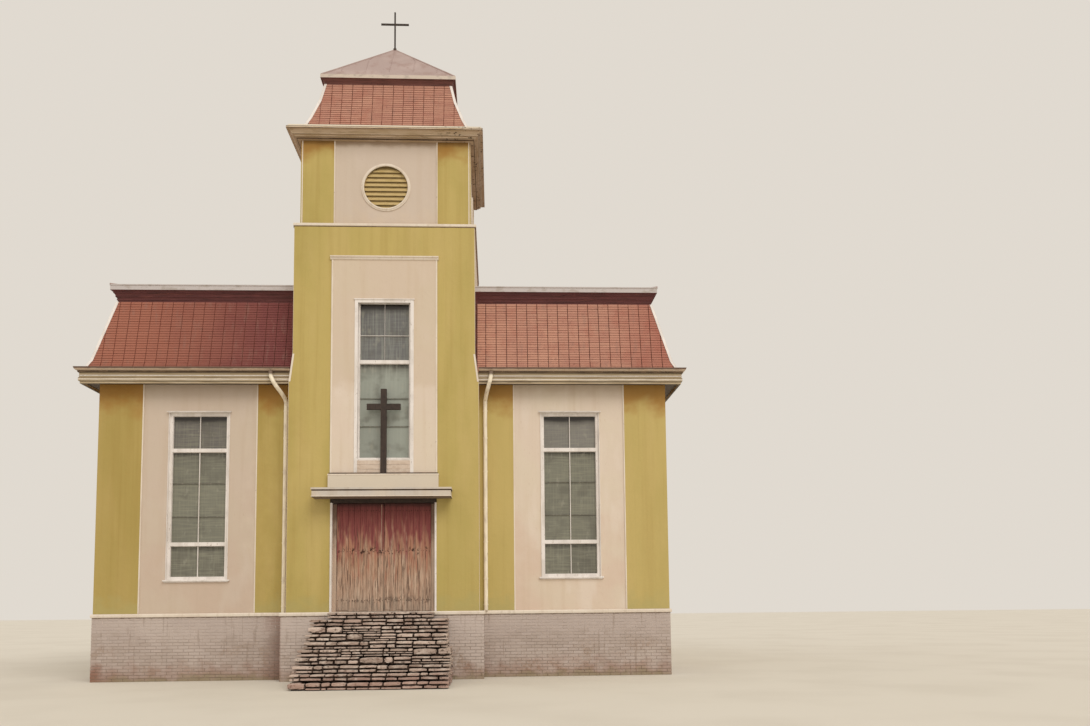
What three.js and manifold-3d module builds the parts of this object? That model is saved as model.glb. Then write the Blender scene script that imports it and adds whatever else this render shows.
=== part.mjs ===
// A small town church: a broad nave under a mansard roof, and a square tower in the middle of its front.
// Millimetres, +Z up. The front faces -Y, +X is to the right of someone who faces the front.
// Inside this file Y = 0 is the outer face of the nave's front wall, and Z = 0 the lowest ground.
// The group at the end moves the whole church so that its origin is the middle of its footprint.

import * as THREE from 'three';
import { ConvexGeometry } from 'three/addons/geometries/ConvexGeometry.js';
import { mergeVertices } from 'three/addons/utils/BufferGeometryUtils.js';
import Module from 'manifold-3d';

const wasm = await Module();
wasm.setup();

// Fits
const FIT = 0.3;                    // gap between pieces that are cut to each other
const DOOR_CLEARANCE = 7;           // running gap round a door leaf

// Base
const FLOOR_Z = 1575;               // top of the floor, of the plinth and of the landing
const MOULDING = { height: 75, out: 25 };
const NAVE_PLINTH_OUT = 30;
const TOWER_PLINTH_OUT = 100;

// Nave walls
const NAVE = { half: 6793, length: 14760, wall: 450, top: 7060 };
const WINDOW = { width: 1418, bottom: 2362, top: 6370, centre: 4451, frame: 70, depth: 70, setback: 40 };
const WINDOW_TRANSOMS = [3210, 5462];
const TRANSOM = 80;
const SIDE_WINDOW_PITCH = 4920;
const GLASS = 6;

// Tower
const TOWER = {
  half: 2240, upperHalf: 2155, flareFrom: 7000, flareTo: 7660, top: 10805, wall: 500, out: 530,
};
const TOWER_WINDOW = { width: 1240, bottom: 5165, top: 8975, frame: 30, depth: 70, setback: 60 };
const TOWER_WINDOW_TRANSOMS = [7510];
const INNER_DOORWAY = { half: 1000, top: 3900 };
const BELFRY = { half: 2033, wall: 250, top: 13040 };
const LEDGE = { half: 2185, edge: 10900, top: 10930, inner: 2093 };
const LOUVRE = { z: 11885, hole: 570, inner: 528, flange: 596, flangeDepth: 20, depth: 150, sides: 48 };
const SLAT = { count: 9, depth: 150, thick: 14, tilt: 1.05 };

// Doorway
const DOORWAY = { half: 1207, top: 4200 };
const DOOR_FRAME = { width: 96, head: 70, front: 130, depth: 74 };
const LEAF = { thick: 60, meeting: 12, back: 210 };
const HINGE = { radius: 11, sides: 16, barrel: 90, lug: 14, lugReach: 60, lugBack: 5, behind: 16 };
const STRAP = { length: 260, height: 60, thick: 14, sunk: 4 };
const HINGE_HEIGHTS = [300, 1230, 2160];

// Over the door
const CANOPY = { half: 1594, bottom: 4217, top: 4437, out: 480, lip: 20, lipHeight: 45 };
const PEDESTAL = { half: 1290, top: 4800, out: 110 };
const FACADE_CROSS = { top: 6827, bar: 140, thick: 80, clear: 15, armZ: 6400, armHalf: 397 };

// Steps
const STEPS = { risers: 10, tread: 245, landing: 400, topHalf: 1230, half: 1590, footHalf: 1690, footSteps: 5 };

// Eaves, as distances out from the nave's wall face
const EAVES_TOP = 7290;
const GUTTER = { inner: 325, outer: 480, top: 7390, metal: 8 };
const EAVES_PROFILE = [
  [-300, 7060], [317, 7060], [317, 7008], [357, 7008], [357, 7068], [387, 7068],
  [387, 7140], [372, 7150], [372, 7262], [400, 7270], [400, EAVES_TOP], [-300, EAVES_TOP],
];

// Nave roof, as distances out from the nave's wall face
const MANSARD = { foot: 317, head: -246, thick: 122, top: 9150 };
const MANSARD_SPROCKET = [165, 7590];        // where the flared foot ends and the straight slope begins
const ROOF_CAP_TOP = 9562;
const ROOF_CAP_PROFILE = [
  [-430, MANSARD.top], [-246, MANSARD.top], [-232, 9230], [-190, 9330], [-143, 9425],
  [-103, 9425], [-103, 9530], [-88, 9540], [-88, ROOF_CAP_TOP], [-430, ROOF_CAP_TOP],
];
const UPPER_ROOF = { edge: -100, rise: 926, thick: 100 };

// Tower top, as half widths
const TOWER_CORNICE_TOP = 13320;
const TOWER_CORNICE_PROFILE = [
  [1783, BELFRY.top], [2150, BELFRY.top], [2150, 13070], [2195, 13078], [2195, 13108], [2245, 13118],
  [2245, 13146], [2305, 13206], [2365, 13214], [2365, 13270], [2330, 13290],
  [2330, TOWER_CORNICE_TOP], [1783, TOWER_CORNICE_TOP],
];
const TOWER_MANSARD = { foot: 2029, head: 1560, thick: 120, top: 14735 };
const TOWER_MANSARD_BENDS = [[1862, 13700], [1668, 14250]];
const TOWER_CAP_TOP = 14960;
const TOWER_CAP_PROFILE = [
  [1440, TOWER_MANSARD.top], [1560, TOWER_MANSARD.top], [1584, 14790], [1640, 14866], [1683, 14866],
  [1683, TOWER_CAP_TOP], [1440, TOWER_CAP_TOP],
];
const PYRAMID = { half: 1660, apex: 16594, thick: 150, tip: 40 };
const ROOF_CROSS = { foot: 80, footHeight: 60, bar: 40, top: 17647, armZ: 17304, armHalf: 370 };

// Downpipes: the left one runs to the left of the tower
const PIPE = { radius: 48, sides: 12, steps: 44, out: 80, wallX: 2392, outletIn: 20, tension: 0.3 };
const PIPE_OUTLETS = { left: 2690, right: 2540 };
const PIPE_LEVELS = { neck: 7190, under: 6980, bend: 6800, wall: 6640, below: 6400, middle: 4000 };
const BRACKET = { half: 30, height: 40, levels: [2300, 4000, 5700] };

const STEPS_BACK = -TOWER.out - TOWER_PLINTH_OUT - MOULDING.out;
const STEPS_FRONT = STEPS_BACK - STEPS.landing - (STEPS.risers - 1) * STEPS.tread;
const TOWER_CENTRE_Y = TOWER.half - TOWER.out;
const TOWER_REAR_Y = 2 * TOWER.half - TOWER.out;
const MIDDLE_Y = (STEPS_FRONT + NAVE.length + GUTTER.outer) / 2;

const LOOKS = {
  ochre: [0xb8a35c, 0.9, 0], cream: [0xd3bfa0, 0.9, 0], plinth: [0xb5a092, 0.95, 0],
  stone: [0x9a8b7c, 0.95, 0], boards: [0x8a7560, 0.8, 0], trim: [0xdccdb8, 0.7, 0],
  tiles: [0xa8705a, 0.85, 0], fascia: [0xcdbdb0, 0.7, 0],
  metal: [0xb8a88c, 0.6, 0.4], sheet: [0xb89a92, 0.6, 0.3], glass: [0x7f8074, 0.15, 0],
  door: [0x7d4a40, 0.8, 0], timber: [0x3a2e28, 0.85, 0], iron: [0x33302d, 0.6, 0.7],
};

const church = new THREE.Group();

function add(name, geometry, look) {
  const [color, roughness, metalness] = LOOKS[look];
  const mesh = new THREE.Mesh(geometry, new THREE.MeshStandardMaterial({ color, roughness, metalness }));
  mesh.name = name;
  church.add(mesh);
}

// Solids for cutting and joining

function solid(geometry) {
  const bare = geometry.clone();
  bare.deleteAttribute('normal');
  bare.deleteAttribute('uv');
  const merged = mergeVertices(bare, 1e-3);
  return new wasm.Manifold(new wasm.Mesh({
    numProp: 3,
    vertProperties: new Float32Array(merged.attributes.position.array),
    triVerts: new Uint32Array(merged.index.array),
  }));
}

function geometryOf(body) {
  const mesh = body.getMesh();
  const geometry = new THREE.BufferGeometry();
  geometry.setAttribute('position', new THREE.BufferAttribute(new Float32Array(mesh.vertProperties), 3));
  geometry.setIndex(new THREE.BufferAttribute(new Uint32Array(mesh.triVerts), 1));
  geometry.computeVertexNormals();
  return geometry;
}

function cut(geometry, ...tools) {
  return geometryOf(tools.reduce((body, tool) => body.subtract(solid(tool)), solid(geometry)));
}

function join(first, ...others) {
  return geometryOf(others.reduce((body, other) => body.add(solid(other)), solid(first)));
}

// Plain shapes

function box(x0, x1, y0, y1, z0, z1) {
  const geometry = new THREE.BoxGeometry(x1 - x0, y1 - y0, z1 - z0);
  return geometry.translate((x0 + x1) / 2, (y0 + y1) / 2, (z0 + z1) / 2);
}

function polygon(points) {
  return new THREE.Shape(points.map(([x, y]) => new THREE.Vector2(x, y)));
}

function rectangle(x0, x1, y0, y1) {
  return polygon([[x0, y0], [x1, y0], [x1, y1], [x0, y1]]);
}

// A plan outline raised from one level to another
function slab(shape, z0, z1) {
  return new THREE.ExtrudeGeometry(shape, { depth: z1 - z0, bevelEnabled: false }).translate(0, 0, z0);
}

// A front view, drawn in X and Z, made solid from one Y to another
function panel(shape, y0, y1) {
  const geometry = new THREE.ExtrudeGeometry(shape, { depth: y1 - y0, bevelEnabled: false });
  return geometry.rotateX(Math.PI / 2).translate(0, y1, 0);
}

// A profile of [distance out, height] run round a rectangle with mitred corners
function ring(profile, halfX, halfY, centreY) {
  const reach = 1000;
  const points = [...profile, profile[0]].map(([out, z]) => new THREE.Vector2((out + reach) * Math.SQRT2, z));
  const geometry = new THREE.LatheGeometry(points, 4).rotateX(Math.PI / 2).rotateZ(Math.PI / 4);
  const position = geometry.attributes.position;
  for (let i = 0; i < position.count; i++) {
    const x = position.getX(i);
    const y = position.getY(i);
    position.setX(i, Math.sign(x) * (Math.abs(x) - reach + halfX));
    position.setY(i, Math.sign(y) * (Math.abs(y) - reach + halfY) + centreY);
  }
  return geometry;
}

const naveRing = (profile) => ring(profile, NAVE.half, NAVE.length / 2, NAVE.length / 2);
const towerRing = (profile) => ring(profile, 0, 0, TOWER_CENTRE_Y);

// The profile of a roof slope of even thickness, from its foot over its bends to its head
function slopeProfile({ foot, head, thick, top }, bottom, bends) {
  const outside = [[foot, bottom], ...bends, [head, top]];
  return [...outside, ...outside.map(([out, z]) => [out - thick, z]).reverse()];
}

function arrayOfHeights(first, pitch, count) {
  return Array.from({ length: count }, (_, i) => first + i * pitch);
}

// Base, floor and steps

function naveBasePlan(out) {
  return rectangle(-NAVE.half - out, NAVE.half + out, -out, NAVE.length + out);
}

function towerBasePlan(out) {
  return rectangle(-TOWER.half - out, TOWER.half + out, -TOWER.out - out, -NAVE_PLINTH_OUT - FIT);
}

// A block of masonry with a moulded top course that stands out on its free sides
function baseBlock(plan, out) {
  const moulding = slab(plan(out + MOULDING.out), FLOOR_Z - MOULDING.height, FLOOR_Z);
  return join(slab(plan(out), 0, FLOOR_Z), moulding);
}

function floorPlan() {
  const half = NAVE.half - NAVE.wall;
  const towerHalf = TOWER.half - TOWER.wall;
  const towerFront = TOWER.wall - TOWER.out;
  const rear = NAVE.length - NAVE.wall;
  return polygon([
    [-half, NAVE.wall], [-towerHalf, NAVE.wall], [-towerHalf, towerFront], [towerHalf, towerFront],
    [towerHalf, NAVE.wall], [half, NAVE.wall], [half, rear], [-half, rear],
  ]);
}

function addBase() {
  const step = FLOOR_Z - MOULDING.height;
  const recess = slab(floorPlan(), step, FLOOR_Z + MOULDING.height);
  const towerBaseHalf = TOWER.half + TOWER_PLINTH_OUT + MOULDING.out + FIT;
  const towerBase = box(-towerBaseHalf, towerBaseHalf, -NAVE.half, -NAVE_PLINTH_OUT, -1, FLOOR_Z + 1);
  add('nave_plinth', cut(baseBlock(naveBasePlan, NAVE_PLINTH_OUT), recess, towerBase), 'plinth');
  add('tower_plinth', baseBlock(towerBasePlan, TOWER_PLINTH_OUT), 'plinth');
  add('floor', slab(floorPlan(), step, FLOOR_Z), 'boards');
}

// The landing is narrow, and the lowest steps reach further out to both sides
function stepHalf(number) {
  if (number === STEPS.risers) return STEPS.topHalf;
  return number > STEPS.footSteps ? STEPS.half : STEPS.footHalf;
}

function stepBlock(number) {
  const front = STEPS_BACK - STEPS.landing - (STEPS.risers - number) * STEPS.tread;
  const half = stepHalf(number);
  return box(-half, half, front, STEPS_BACK, 0, number * FLOOR_Z / STEPS.risers);
}

function addSteps() {
  const blocks = arrayOfHeights(1, 1, STEPS.risers).map(stepBlock);
  add('front_steps', join(...blocks), 'stone');
}

// Walls of the nave

// The space that a window takes out of a wall whose outer face is at Y = face
function windowHole(centre, window, face, wall) {
  const half = window.width / 2;
  return box(centre - half, centre + half, face - 1, face + wall + 1, window.bottom, window.top);
}

function wallWithWindows(from, to, centres) {
  const holes = centres.map((centre) => windowHole(centre, WINDOW, 0, NAVE.wall));
  return cut(box(from, to, 0, NAVE.wall, FLOOR_Z, NAVE.top), ...holes);
}

const sideWindowCentres = arrayOfHeights(NAVE.length / 2 - SIDE_WINDOW_PITCH, SIDE_WINDOW_PITCH, 3);

// Turns something drawn as a front wall into the same thing on the left or right wall
function onSide(geometry, side) {
  return geometry.rotateZ(side * Math.PI / 2).translate(side * NAVE.half, side < 0 ? NAVE.length : 0, 0);
}

function addNaveWalls() {
  const inner = TOWER.half + FIT;
  add('nave_front_wall_left', wallWithWindows(-NAVE.half, -inner, [-WINDOW.centre]), 'ochre');
  add('nave_front_wall_right', wallWithWindows(inner, NAVE.half, [WINDOW.centre]), 'ochre');
  const side = () => wallWithWindows(NAVE.wall, NAVE.length - NAVE.wall, sideWindowCentres);
  add('nave_wall_left', onSide(side(), -1), 'ochre');
  add('nave_wall_right', onSide(side(), 1), 'ochre');
  const rear = box(-NAVE.half, NAVE.half, NAVE.length - NAVE.wall, NAVE.length, FLOOR_Z, NAVE.top);
  add('nave_rear_wall', rear, 'ochre');
}

// Windows

function windowFrame(window, transoms) {
  const half = window.width / 2 - FIT;
  const back = window.setback + window.depth;
  const opening = window.width / 2 - window.frame;
  const bottoms = [window.bottom + window.frame, ...transoms.map((z) => z + TRANSOM / 2)];
  const tops = [...transoms.map((z) => z - TRANSOM / 2), window.top - window.frame];
  const openings = bottoms.map((bottom, i) => box(
    -opening, opening, window.setback - 1, back + 1, bottom, tops[i],
  ));
  return cut(box(-half, half, window.setback, back, window.bottom + FIT, window.top - FIT), ...openings);
}

function windowGlass(window) {
  const half = window.width / 2 - FIT;
  const back = window.setback + window.depth;
  return box(-half, half, back, back + GLASS, window.bottom + FIT, window.top - FIT);
}

function addWindow(name, window, transoms, place) {
  add(`window_frame_${name}`, place(windowFrame(window, transoms)), 'trim');
  add(`window_glass_${name}`, place(windowGlass(window)), 'glass');
}

function addWindows() {
  addWindow('front_left', WINDOW, WINDOW_TRANSOMS, (piece) => piece.translate(-WINDOW.centre, 0, 0));
  addWindow('front_right', WINDOW, WINDOW_TRANSOMS, (piece) => piece.translate(WINDOW.centre, 0, 0));
  addWindow('tower', TOWER_WINDOW, TOWER_WINDOW_TRANSOMS, (piece) => piece.translate(0, -TOWER.out, 0));
  sideWindowCentres.forEach((centre, i) => {
    const left = (piece) => onSide(piece.translate(NAVE.length - centre, 0, 0), -1);
    const right = (piece) => onSide(piece.translate(centre, 0, 0), 1);
    addWindow(`left_${i + 1}`, WINDOW, WINDOW_TRANSOMS, left);
    addWindow(`right_${i + 1}`, WINDOW, WINDOW_TRANSOMS, right);
  });
}

// Tower

// The tower's front view, which draws in from the flare upwards
function towerSilhouette(from, to, grow = 0) {
  const half = TOWER.half + grow;
  const upper = TOWER.upperHalf + grow;
  const right = from < TOWER.flareFrom
    ? [[half, from], [half, TOWER.flareFrom], [upper, TOWER.flareTo], [upper, to]]
    : [[upper, from], [upper, to]];
  const left = right.map(([x, z]) => [-x, z]).reverse();
  return polygon([...right, ...left]);
}

// What the tower takes up, used to cut the roofs that meet it
function towerSpace() {
  return panel(towerSilhouette(0, TOWER.top + 1000, FIT), -2 * NAVE.wall - TOWER.out, TOWER_REAR_Y + FIT);
}

function addTowerFront() {
  const front = -TOWER.out;
  const back = front + TOWER.wall;
  const upper = panel(towerSilhouette(DOORWAY.top, TOWER.top), front, back);
  const hole = windowHole(0, TOWER_WINDOW, front, TOWER.wall);
  add('tower_front_pier_left', box(-TOWER.half, -DOORWAY.half, front, back, FLOOR_Z, DOORWAY.top), 'ochre');
  add('tower_front_pier_right', box(DOORWAY.half, TOWER.half, front, back, FLOOR_Z, DOORWAY.top), 'ochre');
  add('tower_front_upper_wall', cut(upper, hole), 'ochre');
}

function addTowerSides() {
  const inner = TOWER.half - TOWER.wall;
  const from = TOWER.wall - TOWER.out;
  const to = TOWER_REAR_Y - TOWER.wall;
  for (const [side, name] of [[-1, 'left'], [1, 'right']]) {
    const shape = polygon([
      [side * inner, FLOOR_Z], [side * TOWER.half, FLOOR_Z], [side * TOWER.half, TOWER.flareFrom],
      [side * TOWER.upperHalf, TOWER.flareTo], [side * TOWER.upperHalf, TOWER.top], [side * inner, TOWER.top],
    ]);
    add(`tower_side_wall_${name}`, panel(shape, from, to), 'ochre');
  }
  const rear = towerSilhouette(FLOOR_Z, TOWER.top);
  const half = INNER_DOORWAY.half;
  const doorway = box(-half, half, to - 1, TOWER_REAR_Y + 1, FLOOR_Z - 1, INNER_DOORWAY.top);
  add('tower_rear_wall', cut(panel(rear, to, TOWER_REAR_Y), doorway), 'ochre');
}

function roundOpening(length) {
  return new THREE.CylinderGeometry(LOUVRE.hole, LOUVRE.hole, length, LOUVRE.sides);
}

function addBelfry() {
  const inner = BELFRY.half - BELFRY.wall;
  const walls = towerRing([
    [inner, TOWER.top], [LEDGE.half, TOWER.top], [LEDGE.half, LEDGE.edge], [LEDGE.inner, LEDGE.top],
    [BELFRY.half, LEDGE.top], [BELFRY.half, BELFRY.top], [inner, BELFRY.top],
  ]);
  const length = 3 * BELFRY.half;
  const through = roundOpening(length).translate(0, TOWER_CENTRE_Y, LOUVRE.z);
  const across = roundOpening(length).rotateZ(Math.PI / 2).translate(0, TOWER_CENTRE_Y, LOUVRE.z);
  add('belfry_walls', cut(walls, through, across), 'ochre');
}

// A round frame with sloping slats, drawn for the front of the belfry, its centre at the origin
function louvre() {
  const tube = LOUVRE.hole - FIT;
  const profile = [
    [LOUVRE.inner, 0], [LOUVRE.flange, 0], [LOUVRE.flange, LOUVRE.flangeDepth],
    [tube, LOUVRE.flangeDepth], [tube, LOUVRE.depth], [LOUVRE.inner, LOUVRE.depth], [LOUVRE.inner, 0],
  ];
  const frame = new THREE.LatheGeometry(profile.map(([r, y]) => new THREE.Vector2(r, y)), LOUVRE.sides);
  const seat = (LOUVRE.inner + tube) / 2;
  const room = solid(new THREE.CylinderGeometry(seat, seat, LOUVRE.depth, LOUVRE.sides)
    .translate(0, LOUVRE.flangeDepth + LOUVRE.depth / 2, 0));
  const pitch = 2 * LOUVRE.inner / SLAT.count;
  const slats = arrayOfHeights(pitch / 2 - LOUVRE.inner, pitch, SLAT.count).map((z) => {
    const board = new THREE.BoxGeometry(2 * LOUVRE.flange, SLAT.depth, SLAT.thick);
    board.rotateX(SLAT.tilt).translate(0, LOUVRE.depth / 2, z);
    return solid(board).intersect(room);
  });
  return geometryOf(slats.reduce((body, slat) => body.add(slat), solid(frame)));
}

function addLouvres() {
  const names = ['front', 'right', 'rear', 'left'];
  names.forEach((name, quarter) => {
    const piece = louvre().translate(0, -BELFRY.half - LOUVRE.flangeDepth, 0).rotateZ(quarter * Math.PI / 2);
    add(`belfry_louvre_${name}`, piece.translate(0, TOWER_CENTRE_Y, LOUVRE.z), 'trim');
  });
}

function addTowerTop() {
  const slope = slopeProfile(TOWER_MANSARD, TOWER_CORNICE_TOP, TOWER_MANSARD_BENDS);
  add('tower_cornice', towerRing(TOWER_CORNICE_PROFILE), 'fascia');
  add('tower_mansard_roof', towerRing(slope), 'tiles');
  add('tower_roof_cap', towerRing(TOWER_CAP_PROFILE), 'fascia');
  add('tower_pyramid_roof', pyramid(), 'sheet');
  add('roof_cross', roofCross(), 'iron');
}

function pyramid() {
  const slope = (PYRAMID.apex - TOWER_CAP_TOP) / PYRAMID.half;
  const tipZ = PYRAMID.apex - PYRAMID.tip * slope;
  const inner = PYRAMID.half - PYRAMID.thick;
  const corner = Math.SQRT2;
  const points = [
    [0, PYRAMID.apex - PYRAMID.thick * slope], [inner * corner, TOWER_CAP_TOP],
    [PYRAMID.half * corner, TOWER_CAP_TOP], [PYRAMID.tip * corner, tipZ], [0, tipZ],
  ].map(([r, z]) => new THREE.Vector2(r, z));
  const geometry = new THREE.LatheGeometry(points, 4).rotateX(Math.PI / 2).rotateZ(Math.PI / 4);
  return geometry.translate(0, TOWER_CENTRE_Y, 0);
}

// A plain cross of square bars, from its bottom up, its front at Y = front
function crossBars({ bar, armZ, armHalf, top }, bottom, front, thick) {
  const half = bar / 2;
  const post = box(-half, half, front, front + thick, bottom, top);
  return join(post, box(-armHalf, armHalf, front, front + thick, armZ - half, armZ + half));
}

function roofCross() {
  const { bar, foot, footHeight } = ROOF_CROSS;
  const half = foot / 2;
  const tipZ = PYRAMID.apex - PYRAMID.tip * (PYRAMID.apex - TOWER_CAP_TOP) / PYRAMID.half;
  const block = box(-half, half, TOWER_CENTRE_Y - half, TOWER_CENTRE_Y + half, tipZ + FIT, tipZ + footHeight);
  return join(crossBars(ROOF_CROSS, tipZ + footHeight / 2, TOWER_CENTRE_Y - bar / 2, bar), block);
}

// Over the door

function addOverDoor() {
  const front = -TOWER.out;
  const slabBody = box(-CANOPY.half, CANOPY.half, front - CANOPY.out, front, CANOPY.bottom, CANOPY.top);
  const lip = box(
    -CANOPY.half - CANOPY.lip, CANOPY.half + CANOPY.lip,
    front - CANOPY.out - CANOPY.lip, front, CANOPY.top - CANOPY.lipHeight, CANOPY.top,
  );
  add('door_canopy', join(slabBody, lip), 'trim');
  add('cross_pedestal', box(
    -PEDESTAL.half, PEDESTAL.half, front - PEDESTAL.out, front, CANOPY.top, PEDESTAL.top,
  ), 'cream');
  const crossFront = front - FACADE_CROSS.thick - FACADE_CROSS.clear;
  add('facade_cross', crossBars(FACADE_CROSS, PEDESTAL.top, crossFront, FACADE_CROSS.thick), 'timber');
}

// Door

const LEAF_EDGE = DOORWAY.half - DOOR_FRAME.width - DOOR_CLEARANCE;
const LEAF_BACK_Y = -TOWER.out + LEAF.back;
const LEAF_BOTTOM = FLOOR_Z + DOOR_CLEARANCE;
const LEAF_TOP = DOORWAY.top - DOOR_FRAME.head - DOOR_CLEARANCE;
const HINGE_Y = LEAF_BACK_Y + HINGE.behind;

// One knuckle fixed to the frame, under or over a leaf's barrel, drawn for the left leaf
function hingeLug(z) {
  const rootY = DOOR_FRAME.front + DOOR_FRAME.depth - TOWER.out - HINGE.lugBack - HINGE_Y;
  const { radius, lugReach } = HINGE;
  const shape = polygon([
    [-lugReach, rootY], [-DOOR_CLEARANCE, rootY], [-DOOR_CLEARANCE, -radius],
    [radius, -radius], [radius, radius], [-lugReach, radius],
  ]);
  return slab(shape, z, z + HINGE.lug).translate(-LEAF_EDGE, HINGE_Y, 0);
}

function doorFrame() {
  const shape = polygon([
    [-DOORWAY.half + FIT, FLOOR_Z], [DOOR_FRAME.width - DOORWAY.half, FLOOR_Z],
    [DOOR_FRAME.width - DOORWAY.half, DOORWAY.top - DOOR_FRAME.head],
    [DOORWAY.half - DOOR_FRAME.width, DOORWAY.top - DOOR_FRAME.head],
    [DOORWAY.half - DOOR_FRAME.width, FLOOR_Z], [DOORWAY.half - FIT, FLOOR_Z],
    [DOORWAY.half - FIT, DOORWAY.top - FIT], [-DOORWAY.half + FIT, DOORWAY.top - FIT],
  ]);
  const front = DOOR_FRAME.front - TOWER.out;
  const lugs = HINGE_HEIGHTS.flatMap((height) => {
    const z = LEAF_BOTTOM + height;
    return [hingeLug(z - FIT - HINGE.lug), hingeLug(z + HINGE.barrel + FIT)];
  });
  return join(panel(shape, front, front + DOOR_FRAME.depth), ...lugs, ...lugs.map(mirrored));
}

// The same shape on the other side of the church's centre line
function mirrored(geometry) {
  const turned = geometry.clone().scale(-1, 1, 1);
  const flat = turned.index ? turned.toNonIndexed() : turned;
  const position = flat.attributes.position;
  for (let i = 0; i < position.count; i += 3) {
    const first = new THREE.Vector3().fromBufferAttribute(position, i);
    const last = new THREE.Vector3().fromBufferAttribute(position, i + 2);
    position.setXYZ(i, last.x, last.y, last.z);
    position.setXYZ(i + 2, first.x, first.y, first.z);
  }
  return flat;
}

// The left leaf, with the barrels and straps of its hinges
function doorLeaf() {
  const front = LEAF_BACK_Y - LEAF.thick;
  const board = box(-LEAF_EDGE, -LEAF.meeting / 2, front, LEAF_BACK_Y, LEAF_BOTTOM, LEAF_TOP);
  const hinges = HINGE_HEIGHTS.flatMap((height) => {
    const z = LEAF_BOTTOM + height + HINGE.barrel / 2;
    const barrel = new THREE.CylinderGeometry(HINGE.radius, HINGE.radius, HINGE.barrel, HINGE.sides)
      .rotateX(Math.PI / 2).translate(-LEAF_EDGE, HINGE_Y, z);
    const strapFront = LEAF_BACK_Y - STRAP.sunk;
    const strap = box(
      -LEAF_EDGE, STRAP.length - LEAF_EDGE, strapFront, strapFront + STRAP.thick,
      z - STRAP.height / 2, z + STRAP.height / 2,
    );
    return [barrel, strap];
  });
  return join(board, ...hinges);
}

function addDoorLeaves() {
  const left = doorLeaf();
  add('door_leaf_left', left, 'door');
  add('door_leaf_right', mirrored(left), 'door');
}

// Eaves and roofs of the nave

function addEaves() {
  const metal = GUTTER.metal;
  const channel = [
    [GUTTER.inner, EAVES_TOP], [GUTTER.outer, EAVES_TOP], [GUTTER.outer, GUTTER.top],
    [GUTTER.outer - metal, GUTTER.top], [GUTTER.outer - metal, EAVES_TOP + metal],
    [GUTTER.inner + metal, EAVES_TOP + metal], [GUTTER.inner + metal, GUTTER.top], [GUTTER.inner, GUTTER.top],
  ];
  add('eaves_cornice', cut(naveRing(EAVES_PROFILE), towerSpace()), 'trim');
  add('eaves_gutter', cut(naveRing(channel), towerSpace()), 'metal');
}

// One slope of the mansard: the part of the whole ring that lies between the hips at its two ends
function mansardSlope(slopes, across, deep, turn) {
  const [inner, outer] = [-NAVE.wall - MANSARD.thick, GUTTER.outer];
  const plan = polygon([
    [-across - inner + FIT, -deep - inner], [-across - outer + FIT, -deep - outer],
    [across + outer - FIT, -deep - outer], [across + inner - FIT, -deep - inner],
  ]);
  const space = slab(plan, EAVES_TOP - 1, MANSARD.top + 1).rotateZ(turn).translate(0, NAVE.length / 2, 0);
  return geometryOf(slopes.intersect(solid(space)));
}

function addMansards() {
  const slopes = solid(naveRing(slopeProfile(MANSARD, EAVES_TOP, [MANSARD_SPROCKET])));
  const [across, deep] = [NAVE.half, NAVE.length / 2];
  const front = mansardSlope(slopes, across, deep, 0);
  const leftHalf = box(-2 * across, 0, -across, across, 0, ROOF_CAP_TOP);
  const rightHalf = box(0, 2 * across, -across, across, 0, ROOF_CAP_TOP);
  add('mansard_front_left', cut(front, towerSpace(), rightHalf), 'tiles');
  add('mansard_front_right', cut(front, towerSpace(), leftHalf), 'tiles');
  add('mansard_left', mansardSlope(slopes, deep, across, -Math.PI / 2), 'tiles');
  add('mansard_right', mansardSlope(slopes, deep, across, Math.PI / 2), 'tiles');
  add('mansard_rear', mansardSlope(slopes, across, deep, Math.PI), 'tiles');
}

// A low hipped roof of sheet metal, out of sight behind the roof cap
function upperRoof(drop) {
  const halfX = NAVE.half + UPPER_ROOF.edge;
  const [y0, y1] = [-UPPER_ROOF.edge, NAVE.length + UPPER_ROOF.edge];
  const corners = [[-halfX, y0], [halfX, y0], [halfX, y1], [-halfX, y1]];
  const ridge = [[0, y0 + halfX], [0, y1 - halfX]];
  const z = ROOF_CAP_TOP - drop;
  return new ConvexGeometry([
    ...corners.map(([x, y]) => new THREE.Vector3(x, y, z)),
    ...ridge.map(([x, y]) => new THREE.Vector3(x, y, z + UPPER_ROOF.rise)),
  ]);
}

function addUpperRoof() {
  add('mansard_cap', cut(naveRing(ROOF_CAP_PROFILE), towerSpace()), 'fascia');
  add('upper_roof', cut(upperRoof(0), upperRoof(UPPER_ROOF.thick), towerSpace()), 'sheet');
}

// Downpipes, from the gutter down beside the tower

function downpipe(side, outletX) {
  const { wallX, out, radius, sides, steps, outletIn, tension } = PIPE;
  const outletY = outletIn - GUTTER.outer;
  const along = (share, z) => [
    outletX + share * (wallX - outletX), outletY + Math.max(0, 2 * share - 1) * (-out - outletY), z,
  ];
  const route = [
    along(0, EAVES_TOP - FIT), along(0, PIPE_LEVELS.neck), along(1 / 3, PIPE_LEVELS.under),
    along(3 / 4, PIPE_LEVELS.bend), along(1, PIPE_LEVELS.wall), along(1, PIPE_LEVELS.below),
    along(1, PIPE_LEVELS.middle), along(1, FLOOR_Z + FIT),
  ].map(([x, y, z]) => new THREE.Vector3(side * x, y, z));
  const extrudePath = new THREE.CatmullRomCurve3(route, false, 'catmullrom', tension);
  const circle = new THREE.Shape().absarc(0, 0, radius, 0, 2 * Math.PI);
  const pipe = new THREE.ExtrudeGeometry(circle, { steps, curveSegments: sides, extrudePath });
  const x = side * wallX;
  const brackets = BRACKET.levels.map((z) => box(
    x - BRACKET.half, x + BRACKET.half, -out, -FIT, z, z + BRACKET.height,
  ));
  return join(pipe, ...brackets);
}

function addDownpipes() {
  add('downpipe_left', downpipe(-1, PIPE_OUTLETS.left), 'metal');
  add('downpipe_right', downpipe(1, PIPE_OUTLETS.right), 'metal');
}

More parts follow.
